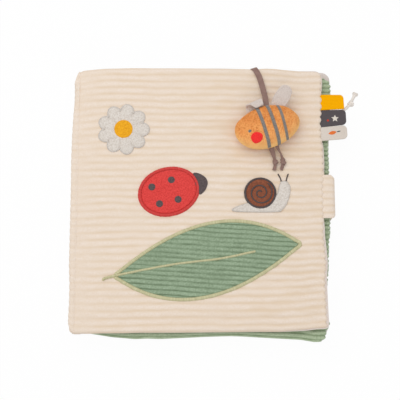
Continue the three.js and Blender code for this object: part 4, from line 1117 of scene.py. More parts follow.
# %% Tabs
# Node, piece, slot, cloth, four corners, radii of the two outer corners, depth of the ribs
TABS = [
    ("yellow_tab", "yellow_rib_tab", "yellow_cloth", yellow_knit,
     [(102.0, 75.1), (122.7, 76.5), (122.2, 88.9), (102.0, 88.8)], (1.2, 3.2), 0.35),
    ("charcoal_tab", "charcoal_jersey_tab", "charcoal_cloth", charcoal_jersey,
     [(102.0, 60.3), (124.2, 62.9), (124.0, 76.3), (102.0, 75.0)], (3.6, 3.6), 0.0),
    ("pale_tab", "pale_cotton_tab", "pale_cloth", pale_cotton,
     [(102.0, 48.4), (125.0, 50.9), (124.6, 62.8), (102.0, 60.3)], (3.8, 3.8), 0.0)]
CHARCOAL, PALE = 1, 2
TAB_RADIUS, SEWN_CORNER, KNIT_PITCH = 0.8, 0.5, 1.25


def tab_height(x, y, order):
    """Height of a tab's middle sheet: level at its seam, drooping and waving a little outside.
    Each tab droops more than the one above it."""
    free = np.clip((x - 105) / 18, 0, 1)
    return FRONT_Z - (0.6 + 0.5 * order) * free ** 2 + 0.35 * free * hills(x, y, 16, 70 + order)


for order, (node, name, slot, cloth, corners, (low_radius, high_radius), rib_depth) in enumerate(TABS):
    a, b, c, d = corners
    width, height = b[0] - a[0], (c[1] + d[1]) / 2 - (a[1] + b[1]) / 2
    radii = (SEWN_CORNER, low_radius, high_radius, SEWN_CORNER)
    x, y, inwards, place = pillow_half(width, height, radii, TAB_RADIUS,
                                       row_step=0.2, column_step=0.6, edge_step=0.2)
    wx, wy = skew(x, y, width, height, corners)
    middle = tab_height(wx, wy, order)
    rise = rolled(inwards, TAB_RADIUS) * 0.95 - 0.07 * bell(inwards, 1.7, 0.35)
    crest = wale(place, KNIT_PITCH) if rib_depth else np.ones(x.shape)
    top = np.stack([wx, wy, middle + rise + (crest - 1) * rib_depth * 0.6], -1)
    bottom = np.stack([wx, wy, middle - rise], -1)
    top[[0, -1]], top[:, [0, -1]] = bottom[[0, -1]], bottom[:, [0, -1]]
    points, faces, used = whole_pillow(top, bottom)
    crest = np.concatenate([crest.ravel(), crest.ravel()])[used]
    tab = add_piece(name, points, faces, cloth, "front_cover", nodes=(node,), fields={"crest": crest})


# %% Prints on the tabs
def flat_motif(name, outline, cloth, order):
    """A printed shape: a thin plate over the tab, its rim at the outline, 0.1 mm proud of the cloth."""
    outline = np.asarray(outline, float)
    middle = outline.mean(0)
    shares = np.array([0.02, 0.5, 0.94, 1.0, 1.0])[:, None, None]
    rings = middle + (outline - middle) * shares
    lift = np.array([0.1, 0.1, 0.1, 0.04, -0.3])[:, None]
    height = tab_height(rings[..., 0], rings[..., 1], order) + TAB_RADIUS * 0.95 + lift
    points = np.concatenate([rings, height[..., None]], -1)
    return add_piece(name, points, swept_faces(*points.shape[:2]), cloth, "front_cover")


def star(middle, points, outer, inner, turn):
    """Star outline: the radius alternates between the tips and the notches."""
    angle = np.arange(2 * points) * np.pi / points + turn
    radius = np.where(np.arange(2 * points) % 2 == 0, outer, inner)
    return np.stack([middle[0] + radius * np.cos(angle), middle[1] + radius * np.sin(angle)], -1)


def lens(long, wide, lean, middle):
    """A pointed oval between two parabolas, turned by lean in radians and moved to its place."""
    t = np.linspace(-1, 1, 14)
    upper, lower = np.stack([t, 1 - t ** 2], -1), np.stack([t[::-1], t ** 2 - 1], -1)
    return turned_by(np.concatenate([upper, lower[1:-1]]) * [long / 2, wide / 2], lean) + middle


star_shape = star((114.6, 68.0), points=5, outer=3.3, inner=1.5, turn=1.57)
dot_shape = ring(20, wide=0.95, high=0.95) + [108.6, 66.2]
leaf_shape = lens(long=7.2, wide=3.0, lean=0.25, middle=[112.2, 55.6])
stem_shape = lens(long=3.8, wide=1.0, lean=0.25, middle=[117.4, 56.9])
flat_motif("tab_print_star", star_shape, print_pale, CHARCOAL)
flat_motif("tab_print_dot", dot_shape, print_red, CHARCOAL)
flat_motif("tab_print_leaf", leaf_shape, print_orange, PALE)
flat_motif("tab_print_stem", stem_shape, print_grey, PALE)
print("tabs made:", len(TABS))

# %% [markdown]
# ## Satin stitch
# Appliqué is held by satin stitch: shiny threads laid side by side over the raw edge. The
# band is a low arch carried along the outline. Its threads are real ridges, and every few of
# them sit a little proud or short, so the band's edge is alive. The sheen of the rayon thread
# comes from a lower roughness than the cloth's.

# %% Satin thread material and bands
def satin(name, colour, dark, thread_mm=0.45):
    """Rayon embroidery thread: fine lines across the band, from the piece's UV in mm."""
    material, tree, shader = start_material(name, colour, roughness=0.5, sheen=0.1, sheen_colour=colour,
                                            specular=0.45)
    cloth = cloth_place(tree)
    lines = waves(tree, cloth, thread_mm, 0.5)
    lots = noise(tree, mapped(tree, cloth, Scale=(1.0, 0.12, 1.0)), 0.9, 3.0)
    shade = blend_colours(tree, ramp(tree, lots, 0.3, 0.7, 0.25, 1.0), dark, colour)
    shade = blend_colours(tree, times(tree, lines, 0.3), shade, dark)
    finish_shader(tree, shader, shade, lines, 0.6, 0.15)
    return material


def closed_line(points, count):
    """The same smooth curve as smooth_line, but round a closed outline, at equal steps."""
    p = np.asarray(points, float)
    wrapped = smooth_line(np.vstack([p[-3:], p, p[:4]]), 60 * len(p))
    walked = arc_length(wrapped)
    from_start = np.linalg.norm(wrapped - p[0], axis=1)
    first = np.argmin(from_start[:len(wrapped) // 3])
    last = len(wrapped) // 2 + np.argmin(from_start[len(wrapped) // 2:])
    return at_steps(np.linspace(walked[first], walked[last], count + 1)[:-1], walked, wrapped)


def outline_normals(line):
    """Outward unit normals of a counter-clockwise outline."""
    ahead = loop_direction(line)
    return np.stack([ahead[:, 1], -ahead[:, 0]], -1)


def satin_band(name, line, cloth, width, height, nodes=(), closed=True, seed=0, base=None):
    """An arch over a flat line on the cover: width / 2 to each side and height high, with a ridge
    for each thread. It stands on the cover's face, or on a level base where one is given."""
    thread, arch_steps = 0.9, 9
    count = len(line)
    side = -outline_normals(line) if closed else left_of(line)
    walked = arc_length(line)
    rng = np.random.default_rng(seed)
    stitch = (walked / thread).astype(int)
    ragged = 1 + 0.07 * rng.uniform(-1, 1, stitch[-1] + 2)[stitch]
    ridge = 0.09 * np.abs(np.sin(np.pi * walked / thread)) - 0.05
    near_end = np.minimum(walked, walked[-1] - walked) / (width / 2)
    taper = 1.0 if closed else np.sqrt(np.clip(near_end, 0.04, 1))
    t = np.linspace(0, np.pi, arch_steps)
    across = np.cos(t) * (width / 2 * ragged * taper)[:, None]
    flat = line[:, None] + side[:, None] * across[..., None]
    ground = cover_top(flat[..., 0], flat[..., 1]) if base is None else np.full(across.shape, base)
    lift = ground - 0.35 + np.sin(t) ** 0.8 * ((height + 0.2 + ridge) * taper)[:, None]
    points = np.concatenate([flat, lift[..., None]], -1)
    middle = arch_steps // 2
    under = points[:, [middle]].copy()
    under[..., 2] = ground[:, [middle]] - 0.7
    points = np.concatenate([points, under], 1)
    columns = points.shape[1]
    faces = looped_faces(count, columns) if closed else swept_faces(count, columns)
    uv = np.stack(np.broadcast_arrays(walked[:, None], np.linspace(0, width, columns)), -1)
    return add_piece(name, points, faces, cloth, "front_cover", nodes=nodes, uv=uv, sharp=70)


def turned(points, spot):
    """Points turned by spot's angle in degrees and moved to its place."""
    return turned_by(points, math.radians(spot.get("turn", 0))) + [spot["x"], spot["y"]]


sage_satin = satin("rayon_satin_stitch_sage", "#dfdab2", "#aeaa7c")
red_satin = satin("rayon_satin_stitch_red", "#e5423c", "#b92c29")
charcoal_satin = satin("rayon_satin_stitch_charcoal", "#5d5150", "#3b3233")
grey_satin = satin("rayon_satin_stitch_pale_grey", "#e3ddd6", "#bdb3a9")

# %% [markdown]
# ## Striped leaf on the cover
# The large green patch is fine corduroy, cut on a slant so its ribs run across the leaf. The
# patch is ruled between its lower and its upper outline, and its height comes from the ribs.

# %% Leaf patch
LEAF_SPOT = {"x": 8, "y": -52, "turn": 10}
LEAF_LONG, LEAF_PULL = 150.0, 56.84
PATCH_ROWS, PATCH_COLUMNS = 110, 150
PATCH_SLANT, PATCH_DEPTH = math.radians(-14), 0.62


def leaf_edge(t, side):
    """Quadratic curve from tip to tip: (1-t)^2 P0 + 2 t (1-t) P1 + t^2 P2. It is the lower
    outline where side is -1 and the upper one where side is 1."""
    t = np.asarray(t)[..., None]
    start, end = np.array([-LEAF_LONG / 2, 0]), np.array([LEAF_LONG / 2, 0])
    pull = side * np.array([LEAF_LONG / 8, LEAF_PULL])
    return (1 - t) ** 2 * start + 2 * t * (1 - t) * pull + t ** 2 * end


t = 0.5 - 0.5 * np.cos(np.linspace(0.02, 0.98, PATCH_COLUMNS) * np.pi)
v = np.sin(np.linspace(-np.pi / 2, np.pi / 2, PATCH_ROWS))[:, None, None]
low, high = leaf_edge(t, -1), leaf_edge(t, 1)
local = low[None] * (1 - v) / 2 + high[None] * (1 + v) / 2
spread = np.linalg.norm(high - low, axis=1)
inwards = np.minimum((1 - np.abs(v[..., 0])) * spread / 2, spread * 0.5 + 0.3)
place = -local[..., 0] * math.sin(PATCH_SLANT) + local[..., 1] * math.cos(PATCH_SLANT)
flat = turned(local, LEAF_SPOT)
crest = wale(place + 0.25 * hills(local[..., 0], local[..., 1], 40, 81), GREEN_PITCH, power=3.2)
quilt = 1.0 * rolled(inwards, 1.0) + 0.5 * np.tanh(inwards / 8)
height = cover_top(flat[..., 0], flat[..., 1]) - 0.3 + quilt
height = height + (crest - 1) * PATCH_DEPTH * np.clip(inwards / 1.5, 0, 1)
patch = np.concatenate([flat, height[..., None]], -1)
add_piece("leaf_patch_cloth", patch, closed_half(patch), green_corduroy, "front_cover",
          nodes=("leaf_patch",), fields={"crest": crest})
corner_t = np.linspace(0, 1, 40)
outline = np.vstack([leaf_edge(corner_t, -1)[:-1], leaf_edge(corner_t[::-1], 1)[:-1]])
outline = closed_line(outline, 1500)
outline = outline + outline_normals(outline) * 1.2
satin_band("leaf_patch_satin", turned(outline, LEAF_SPOT), sage_satin, width=3.0,
           height=1.35, nodes=("leaf_patch_border",), seed=3)
stalk = [(-LEAF_LONG / 2 - 12, -1.5), (-LEAF_LONG / 2 - 4, 0.2), (-30, 1.2), (10, -0.8), (40, 0.2)]
satin_band("leaf_patch_vein_satin", turned(smooth_line(stalk, 620), LEAF_SPOT), sage_satin,
           width=2.2, height=2.1, nodes=("leaf_patch_vein",), closed=False, seed=4)

# %% [markdown]
# ## Ladybird, daisy and snail
# The smaller patches are felted cloth with a low dome of their own, and each has its border,
# its stitched lines or its overlay. They are discs or closed outlines bent to their shape.

# %% Patch cloth materials
red_felt = cotton_material("brushed_cotton_red", "#e64844", "#cb3531", thread_mm=0.4)
brown_felt = cotton_material("brushed_cotton_brown", "#94553a", "#71402b", thread_mm=0.4)
grey_felt = cotton_material("brushed_cotton_pale_grey", "#e2dbd3", "#cbc1b6", thread_mm=0.4)
yellow_felt = cotton_material("brushed_cotton_yellow", "#f6b31d", "#dd960c", thread_mm=0.4)
charcoal_felt = cotton_material("brushed_cotton_charcoal", "#625656", "#4a4041", thread_mm=0.4)


def domed(local, inwards, spot, thick, roll=1.2, dome=0.5, extra=0.0, cloth_base=-0.3):
    """A patch over the cover: its rim at the cloth, a short roll up, then a low dome."""
    flat = turned(local, spot)
    rise = rolled(inwards, roll) / roll * thick + dome * np.tanh(inwards / 6)
    height = cover_top(flat[..., 0], flat[..., 1]) + cloth_base + rise + extra
    return np.concatenate([flat, height[..., None]], -1)


def add_patch(name, shape, cloth, nodes):
    """A felt patch on the cover, from its grid of points."""
    return add_piece(name, shape, closed_half(shape), cloth, "front_cover", nodes=nodes)


# %% Ladybird
BUG = {"x": -24, "y": 5, "turn": 16}
BUG_LONG, BUG_WIDE = 46, 36
SPOTS = [(-0.27, 0.2), (-0.22, -0.22), (0.1, 0.24), (0.12, -0.24)]
HEAD_X, HEAD_HALF_LONG, HEAD_HALF_WIDE, HEAD_BOW = 23.3, 5.2, 9.6, 4.6
SPOT_RADIUS = 3.0
dx, dy, far = disc(61)
local = np.stack([dx * BUG_LONG / 2, dy * BUG_WIDE / 2], -1)
split = -0.35 * bell(local[..., 1] - 0.5 * np.sin(local[..., 0] / 9), 0, 0.7) * (local[..., 0] < 20)
shape = domed(local, (1 - far) * 20, BUG, thick=1.2, extra=split)
add_patch("ladybird_cloth", shape, red_felt, ("ladybird_patch",))
outline = ring(900, BUG_LONG / 2 + 1.3, BUG_WIDE / 2 + 1.3)
satin_band("ladybird_satin", turned(outline, BUG), red_satin, width=3.0, height=1.4,
           nodes=("ladybird_border",), seed=5)
# The head is a crescent: a disc whose inner side is pressed in against the border
dx, dy, far = disc(31)
bow = HEAD_BOW * (1 - (dy * 0.8) ** 2)
head = np.stack([dx * HEAD_HALF_LONG + HEAD_X + bow, dy * HEAD_HALF_WIDE * (1 - 0.12 * dx)], -1)
shape = domed(head, (1 - far) * 6, BUG, thick=1.2, roll=0.8, dome=0.3)
add_patch("ladybird_head_cloth", shape, charcoal_felt, ("ladybird_head",))
dx, dy, far = disc(21)
for number, (u, v) in enumerate(SPOTS, 1):
    local = np.stack([dx * SPOT_RADIUS + BUG_LONG * u, dy * SPOT_RADIUS + BUG_WIDE * v], -1)
    shape = domed(local, (1 - far) * SPOT_RADIUS, BUG, thick=0.5, roll=0.5, dome=0.3, cloth_base=1.05)
    add_patch(f"ladybird_spot_{number}_satin", shape, charcoal_felt,
              (f"ladybird_spot_{number}",))

# %% Daisy
DAISY = {"x": -62, "y": 58}
PETALS = 9
PETAL_RADIUS, PETAL_BORDER_RADIUS, CENTRE_RADIUS = 21.5, 21.3, 7.7


def petal_reach(angle, size):
    """Radius of the flower: size * (0.76 + 0.24 * |cos|^0.8 of half the angle times the petals)."""
    return size * (0.76 + 0.24 * np.abs(np.cos(PETALS * angle / 2)) ** 0.8)


dx, dy, far = disc(121)
angle = np.arctan2(dy, dx)
local = np.stack([dx, dy], -1) * petal_reach(angle, PETAL_RADIUS)[..., None]
between = np.exp(-(np.abs(np.cos(PETALS * angle / 2)) * 3.2) ** 2)
groove = -0.8 * between * np.clip(far * 1.6 - 0.35, 0, 1)
shape = domed(local, (1 - far) * 19, DAISY, thick=1.1, roll=1.0, dome=0.4, extra=groove)
add_patch("daisy_petal_cloth", shape, grey_felt, ("daisy_petals",))
outline = ring(1400)
outline = outline * petal_reach(np.arctan2(outline[:, 1], outline[:, 0]), PETAL_BORDER_RADIUS)[:, None]
satin_band("daisy_satin", turned(outline, DAISY), grey_satin, width=1.5, height=1.1, seed=6)
dx, dy, far = disc(41)
local = np.stack([dx, dy], -1) * CENTRE_RADIUS
dots = 0.14 * np.cos(local[..., 0] * 3.1) * np.cos(local[..., 1] * 3.1) * np.clip((1 - far) * 5, 0, 1)
shape = domed(local, (1 - far) * CENTRE_RADIUS, DAISY, thick=0.9, roll=0.9, dome=0.7, extra=dots,
              cloth_base=0.9)
add_patch("daisy_centre_cloth", shape, yellow_felt, ("daisy_centre",))

# %% Snail
SNAIL = {"x": 53, "y": -2}
SNAIL_LONG = 46
# Outline, shell and feelers as shares of the snail's length
SNAIL_OUTLINE = np.array([
    (-0.52, -0.2), (-0.3, -0.08), (0.1, -0.04), (0.26, 0.08), (0.3, 0.22), (0.34, 0.32), (0.42, 0.33),
    (0.49, 0.23), (0.46, 0.02), (0.36, -0.16), (0.2, -0.22)]) * SNAIL_LONG
SHELL_MIDDLE = np.array([-0.04, 0.12]) * SNAIL_LONG
SHELL_RADIUS = 0.26 * SNAIL_LONG
FEELERS = {
    "left": [(0.35, 0.3), (0.32, 0.4), (0.28, 0.48)],
    "right": [(0.42, 0.3), (0.44, 0.4), (0.47, 0.48)]}
outline = closed_line(SNAIL_OUTLINE, 300)
normals = outline_normals(outline)
if (normals * (outline - outline.mean(0))).sum() < 0:
    normals = -normals
rings = []
for shift, rise in [(0.0, -0.3), (0.0, 0.45), (-0.35, 0.85), (-0.9, 1.0)]:
    flat = turned(outline + normals * shift, SNAIL)
    rings.append(np.concatenate([flat, (cover_top(flat[:, 0], flat[:, 1]) + rise)[:, None]], -1))
add_piece("snail_body_cloth", np.stack(rings), swept_faces(len(rings), 300), grey_felt, "front_cover",
          nodes=("snail_body",))
line = closed_line(SNAIL_OUTLINE, 900)
satin_band("snail_body_satin", turned(line, SNAIL), grey_satin, width=1.1, height=1.15,
           seed=7)
for side, route in FEELERS.items():
    line = turned(smooth_line(np.array(route) * SNAIL_LONG, 60), SNAIL)
    satin_band(f"snail_{side}_feeler_satin", line, charcoal_satin, width=1.1, height=0.9,
               closed=False, seed=10)
dx, dy, far = disc(61)
local = np.stack([dx, dy], -1) * SHELL_RADIUS + SHELL_MIDDLE
shape = domed(local, (1 - far) * SHELL_RADIUS, SNAIL, thick=1.3, roll=1.0, cloth_base=-0.1)
add_patch("snail_shell_cloth", shape, brown_felt, ("snail_shell",))
outline = ring(620, SHELL_RADIUS + 0.3, SHELL_RADIUS + 0.3) + SHELL_MIDDLE
satin_band("snail_shell_satin", turned(outline, SNAIL), charcoal_satin, width=2.2,
           height=1.7, nodes=("snail_shell_border",), seed=8)
turn = np.linspace(0.4, 4.3 * np.pi, 700)
spiral = np.stack([np.cos(turn), np.sin(turn)], -1) * (0.6 + 9.6 * turn[:, None] / turn[-1]) + SHELL_MIDDLE
shell_top = cover_top(*turned(SHELL_MIDDLE, SNAIL)) + 1.75
satin_band("snail_spiral_satin", turned(spiral, SNAIL), charcoal_satin, width=1.2,
           height=0.55, closed=False, seed=9, base=shell_top)
print("appliqué pieces made")

# %% [markdown]
# ## The bee
# The bee is a small stuffed toy of short-pile plush. Its body is an egg that is flatter below.
# The pile breaks the light into soft specks and makes the outline a little furry, so the
# surface has real bumps, and short tufts stand out all over it.

# %% Bee frame and body
BEE = {"x": 57.2, "y": 57.9, "turn": 13}
BEE_Z = 39.56
# Half the body's length, width and height, and how much wider it is at the head than in the middle
BEE_A, BEE_B, BEE_C = 27.2, 18.0, 8.7
HEAD_SHARE = 0.12


def bee_half_width(u):
    """Half width at u along the body: b sqrt(1 - (u / a)^2), narrower towards the tail."""
    return BEE_B * (1 - HEAD_SHARE * u / BEE_A) * np.sqrt(np.maximum(1 - (u / BEE_A) ** 2, 0))


def bee_lift(u, v):
    """Height of the body over its middle plane: c (1 - r^2.2)^(1/2), where r is 1 at the outline."""
    r2 = (u / BEE_A) ** 2 + (v / (BEE_B * (1 - HEAD_SHARE * u / BEE_A))) ** 2
    return BEE_C * np.sqrt(np.maximum(1 - r2 ** 1.1, 0))


def bee_place(u, v, z):
    """Body coordinates to the book's. The upper outline is fuller at u = 18 and flatter at u = -16."""
    v = v + (0.9 * bell(u, 18, 7) - 2.5 * bell(u, -16, 13)) * np.clip(v / 12, 0, 1)
    return np.concatenate([turned(np.stack([u, v], -1), BEE), (BEE_Z + z)[..., None]], -1)


def bee_normal(u, v, lift):
    """Unit normals of the body's oval, in its own coordinates."""
    return unit(np.stack([u / BEE_A ** 2, v / BEE_B ** 2, lift / BEE_C ** 2], -1))


def bee_painted_light(u, v, lift):
    """1 - n_z + 0.2 n_u - 0.75 n_v for the normal n: painted light and shade for the plush. It grows
    to 1 at the rim, most of all below, where the plush is painted paler, and is under 0 on the
    side above the stripes, where it is painted darker as shade."""
    normal = bee_normal(u, v, np.abs(lift))
    return np.clip(1 - normal[..., 2] + 0.2 * normal[..., 0] - 0.75 * normal[..., 1], -1, 1)


def plush(name, colour, dark, light):
    """Short-pile plush: small lots of pile lean away from the light or into it. The value that the
    mesh holds here is painted light and shade: towards 1 at the sides the plush is painted paler,
    as a painted rim light, and below 0 it is painted darker as shade."""
    material, tree, shader = start_material(name, colour, roughness=0.95, sheen=0.3, sheen_colour=light,
                                            specular=0.1)
    place, painted_light = object_place(tree), mesh_value(tree, "painted_light")
    lots = noise(tree, place, 760.0, 3.0, Roughness=0.65)
    shade = blend_colours(tree, ramp(tree, lots, 0.38, 0.56), dark, colour)
    worn = ramp(tree, noise(tree, place, 130.0, 2.0), 0.45, 0.7, 0.0, 0.15)
    shade = blend_colours(tree, worn, shade, light)
    # Painted shade where the mesh's value is below 0, and painted rim light where it nears 1
    shade = blend_colours(tree, times(tree, painted_light, -1.4, clamp=True), shade, dark)
    shade = blend_colours(tree, painted_light, shade, light)
    pile = combine(tree, "ADD", lots, noise(tree, place, 2400.0, 2.0))
    finish_shader(tree, shader, shade, pile, 0.8, 0.35)
    return material


# The dark colour is the random pile's and the painted shade's; the light one is the random wear's, the
# sheen's and the painted rim light's
orange_plush = plush("short_pile_plush_orange", "#ffb46b", "#e38a45", "#ffcc86")
# Below, the body is flatter: what lies deeper than this is halved
FLAT_BELOW = 6.9
dx, dy, far = disc(141)
u = dx * BEE_A
v = dy * BEE_B * (1 - HEAD_SHARE * dx)
pile = 0.1 * hills(u, v, 1.6, 91, 30) + 0.12 * hills(u, v, 9, 92)
dome = BEE_C * np.sqrt(np.maximum(1 - far ** 2.2, 0))
# The bumps fade out at the rim, where both halves have to meet
top = bee_place(u, v, dome + pile * np.clip(dome / 2, 0, 1))
under = np.where(dome > FLAT_BELOW, FLAT_BELOW + 0.5 * (dome - FLAT_BELOW), dome)
bottom = bee_place(u, v, -under)
points, faces, used = whole_pillow(top, bottom)
# Painted light and shade for each point, from the way the body faces
painted_light = np.concatenate([bee_painted_light(u, v, dome).ravel()] * 2)[used]
fuzz = 0.12 * hills(points[:, 0] + points[:, 2], points[:, 1] - points[:, 2], 1.1, 93, 30)
# The fuzz stands out as it would from a plain egg of about the body's size
PLAIN_EGG = np.array([27, 18, 9.0])
outwards = unit((points - [BEE["x"], BEE["y"], BEE_Z]) / PLAIN_EGG ** 2)
points = points + outwards * fuzz[:, None]
bee = add_piece("bee_plush_body", points, faces, orange_plush, "bee", nodes=("bee_body",),
                sharp=180, fields={"painted_light": painted_light})

# %% Pile of the bee
def tufts(count, length, thick, seed):
    """Short tapering hairs over the body: each is a three-sided spike along a leaning normal."""
    rng = np.random.default_rng(seed)
    angle = rng.uniform(0, 2 * np.pi, count)
    far = np.sqrt(rng.uniform(0, 0.995, count))
    u, v = BEE_A * far * np.cos(angle), BEE_B * far * np.sin(angle)
    v = v * (1 - HEAD_SHARE * u / BEE_A)
    above = rng.uniform(0, 1, count) < 0.86
    lift = bee_lift(u, v) * np.where(above, 1, -0.8)
    root = bee_place(u, v, lift)
    normal = bee_normal(u, v, lift)
    normal = np.concatenate([turned_by(normal, math.radians(BEE["turn"])), normal[:, 2:]], 1)
    lean = unit(normal + 0.55 * rng.normal(0, 1, (count, 3)))
    side = unit(np.cross(lean, [0.3, 0.2, 1.0]))
    other = np.cross(lean, side)
    spin = np.arange(3)[:, None] * 2 * np.pi / 3
    around = np.cos(spin) * side[:, None] + np.sin(spin) * other[:, None]
    foot = root[:, None] - normal[:, None] * 0.1 + thick * around
    tip = root + lean * (length * rng.uniform(0.6, 1.2, count))[:, None]
    points = np.concatenate([foot, tip[:, None]], 1).reshape(-1, 3)
    first = 4 * np.arange(count)[:, None, None]
    faces = (first + np.array([[0, 2, 1], [0, 1, 3], [1, 2, 3], [2, 0, 3]])[None]).reshape(-1, 3)
    return points, faces.tolist(), np.repeat(bee_painted_light(u, v, lift), 4)


points, faces, painted_light = tufts(14000, length=0.5, thick=0.09, seed=5)
add_piece("bee_pile", points, faces, orange_plush, "bee", sharp=180,
          fields={"painted_light": painted_light})
print("bee faces:", len(bee.data.polygons), "tufts:", len(faces) // 4)

# %% [markdown]
# ## Stripes, cheek and eye
# Three grey velvet strips go over the bee's back, slightly slanted. The cheek is a red felt
# disc with a satin edge, and the eye is a small satin-stitched dot. Each follows the body's
# height, so it hugs the plush, and stands a little way out of the pile.

# %% Stripes
grey_velvet = cotton_material("velvet_ribbon_grey", "#8b8681", "#706b66", thread_mm=0.3)
STRIPE_STEPS, STRIPE_SIDES, STRIPE_LEAN = 90, 16, 4
STRIPE_HALF_WIDTH, STRIPE_HALF_THICKNESS = 1.42, 0.42
NARROW_STRIPE, NARROW_HALF_WIDTH = 3, 1.15
across_angle = math.radians(BEE["turn"] + STRIPE_LEAN)
stripe_across = np.array([math.cos(across_angle), math.sin(across_angle), 0])
for number, share in enumerate((-0.14, 0.18, 0.48), 1):
    narrow = number == NARROW_STRIPE
    phi = np.radians(np.linspace(-82, 74 if narrow else 82, STRIPE_STEPS))
    v = bee_half_width(share * BEE_A) * np.sin(phi)
    bulge = 1.6 * np.cos(phi) * (0.5 + 0.5 * np.sin(phi)) - 0.6 if narrow else 0.5 * (np.cos(phi) - 0.6)
    u = share * BEE_A - np.tan(math.radians(STRIPE_LEAN)) * v + bulge
    line = bee_place(u, v, bee_lift(u, v) + 0.25)
    steepness = bee_lift(u + 0.5, v) - bee_lift(u - 0.5, v)
    across = unit(stripe_across + upwards * steepness[:, None])
    half_width = NARROW_HALF_WIDTH if narrow else STRIPE_HALF_WIDTH
    points = sweep(line, across, ring(STRIPE_SIDES, half_width, STRIPE_HALF_THICKNESS, power=4))
    add_piece(f"bee_stripe_{number}_velvet", points, swept_faces(STRIPE_STEPS, STRIPE_SIDES), grey_velvet,
              "bee", nodes=(f"bee_stripe_{number}",), sharp=50)


# %% Cheek and eye
def bee_patch(name, cloth, nodes, middle, wide, high, thick, dots=0.0):
    """A small disc, cut by hand, that follows the bee's surface and stands thick over it."""
    dx, dy, far = disc(41)
    around = np.arctan2(dy, dx)
    dx, dy = np.array([dx, dy]) * (1 + 0.03 * np.sin(3 * around + 1) + 0.012 * np.sin(5 * around))
    u, v = middle[0] + dx * wide, middle[1] + dy * high
    rise = rolled((1 - far) * min(wide, high), 0.6) / 0.6 * thick + 0.2 * (1 - far ** 2)
    shape = bee_place(u, v, bee_lift(u, v) - 0.1 + rise + dots * hills(u, v, 1.2, 95))
    return add_piece(name, shape, closed_half(shape), cloth, "bee", nodes=nodes)


CHEEK_AT = (-0.42 * BEE_A, -0.49 * BEE_B)
cheek_felt = cotton_material("pressed_felt_red", "#fb3230", "#e02625", thread_mm=0.4)
bee_patch("bee_cheek_felt", cheek_felt, ("bee_cheek",), CHEEK_AT, wide=4.9, high=4.4,
          thick=0.75, dots=0.06)
EYE_AT = (-0.58 * BEE_A, -0.135 * BEE_B)
slate_satin = cotton_material("embroidery_thread_slate", "#7b8586", "#5c6566", thread_mm=0.3)
bee_patch("bee_eye_stitch", slate_satin, ("bee_eye",), EYE_AT, wide=1.35, high=1.2,
          thick=0.8)

# %% [markdown]
# ## Wings
# The wings are thin double petals of pale cotton fleece. The right one stands up from the
# seam. The left one is folded over itself, so its inside is in shade. A petal is a disc
# that is stretched along one axis; folding it turns the way across into an angle.

# %% Wings
wing_fleece = cotton_material("cotton_fleece_warm_grey", "#d8ccc4", "#c9bbb2", thread_mm=0.45)
RIGHT_WING = {"x": 64.8, "y": 74.6, "turn": 59}
LEFT_WING = {"x": 52.9, "y": 76.5, "turn": 201.5}
WING_STEPS, WING_RISE = 61, math.radians(14)
# Length of each wing's cloth and how much of it is inside the body, then the right wing's half
# width and the two half widths of the left wing's fold
RIGHT_LONG, RIGHT_ROOT, RIGHT_HALF = 22.1, 2.2, 6.4
LEFT_LONG, LEFT_ROOT, LEFT_FOLD = 14.0, 1.2, (4.0, 3.7)
dx, dy, far = disc(WING_STEPS)
line = np.sin(np.linspace(-np.pi / 2, np.pi / 2, WING_STEPS))
square_x, square_y = np.meshgrid(line, line)
edge = rolled((1 - far) * 8, 0.75) / 0.75
stitched = -0.22 * bell((1 - far) * 8, 1.5, 0.4)


def wing_half(along, across, height, spot):
    """A wing's grid from its own coordinates, turned and moved to its place on the bee."""
    return np.concatenate([turned(np.stack([along, across], -1), spot), (BEE_Z + height)[..., None]], -1)


px, py = 0.7 * dx + 0.3 * square_x, 0.7 * dy + 0.3 * square_y
u = (px + 1) / 2 * RIGHT_LONG - RIGHT_ROOT
v = py * RIGHT_HALF * (1.0 - 0.03 * px)
bow = 0.9 * np.cos(py * 1.4) * np.clip(u / 10, 0, 1) - 0.3
halves = []
for sign in (1, -1):
    lift = sign * (0.78 * edge + stitched)
    along = u * math.cos(WING_RISE) - lift * math.sin(WING_RISE)
    height = u * math.sin(WING_RISE) + lift * math.cos(WING_RISE) + bow
    halves.append(wing_half(along, v, 0.3 + height, RIGHT_WING))
points, faces, _ = whole_pillow(*halves)
right_wing = add_piece("bee_right_wing_fleece", points, faces, wing_fleece, "right_wing",
                       nodes=("bee_right_wing",))

# The left wing is folded along its upper edge: theta is -98 degrees on the fold. Its upper flap
# reaches the bee near the root and stops short at the tip, so the dark inside shows there
px, py = 0.3 * dx + 0.7 * square_x, 0.3 * dy + 0.7 * square_y
u = (px + 1) / 2 * LEFT_LONG - LEFT_ROOT
upper_reach = 130 - 96 * np.clip((px - 0.05) / 0.65, 0, 1) ** 1.1
theta = np.radians(-98 + py * np.where(py > 0, upper_reach, 112))
narrower = 1 - 0.1 * px
halves = []
for sign in (1, -1):
    thick = sign * (0.6 * edge + stitched)
    across = (LEFT_FOLD[0] * narrower + thick) * np.sin(theta)
    lift = (LEFT_FOLD[1] * narrower + thick) * np.cos(theta)
    along = u + 0.4 * (across + 4) * np.clip(px, 0, 1)
    halves.append(wing_half(along, across, 1.9 + lift, LEFT_WING))
points, faces, _ = whole_pillow(*halves)
left_wing = add_piece("bee_left_wing_fleece", points, faces, wing_fleece, "left_wing",
                      nodes=("bee_left_wing",))

# %% [markdown]
# ## Legs
# Two short lengths of the same tape hang from the bee's lower seam. Each narrows and twists
# as it goes into an overhand knot, and flares out to a cut end below it.

# %% Legs with knots
# Widths and twists are set at these shares of a leg's length, and so is its thickness
WIDE_AT = [0, 0.2, 0.4, 0.52, 0.65, 0.8, 1.0]
DEEP_AT, DEEP = [0, 0.3, 0.6, 0.75, 1.0], [0.42, 0.5, 0.8, 0.6, 0.4]
LEG_STEPS, LEG_SIDES = 110, 18
LOOP_STEPS, LOOP_SIDES = 64, 14
LOOP_HALF_WIDTH, LOOP_HALF_THICKNESS = 1.45, 0.5
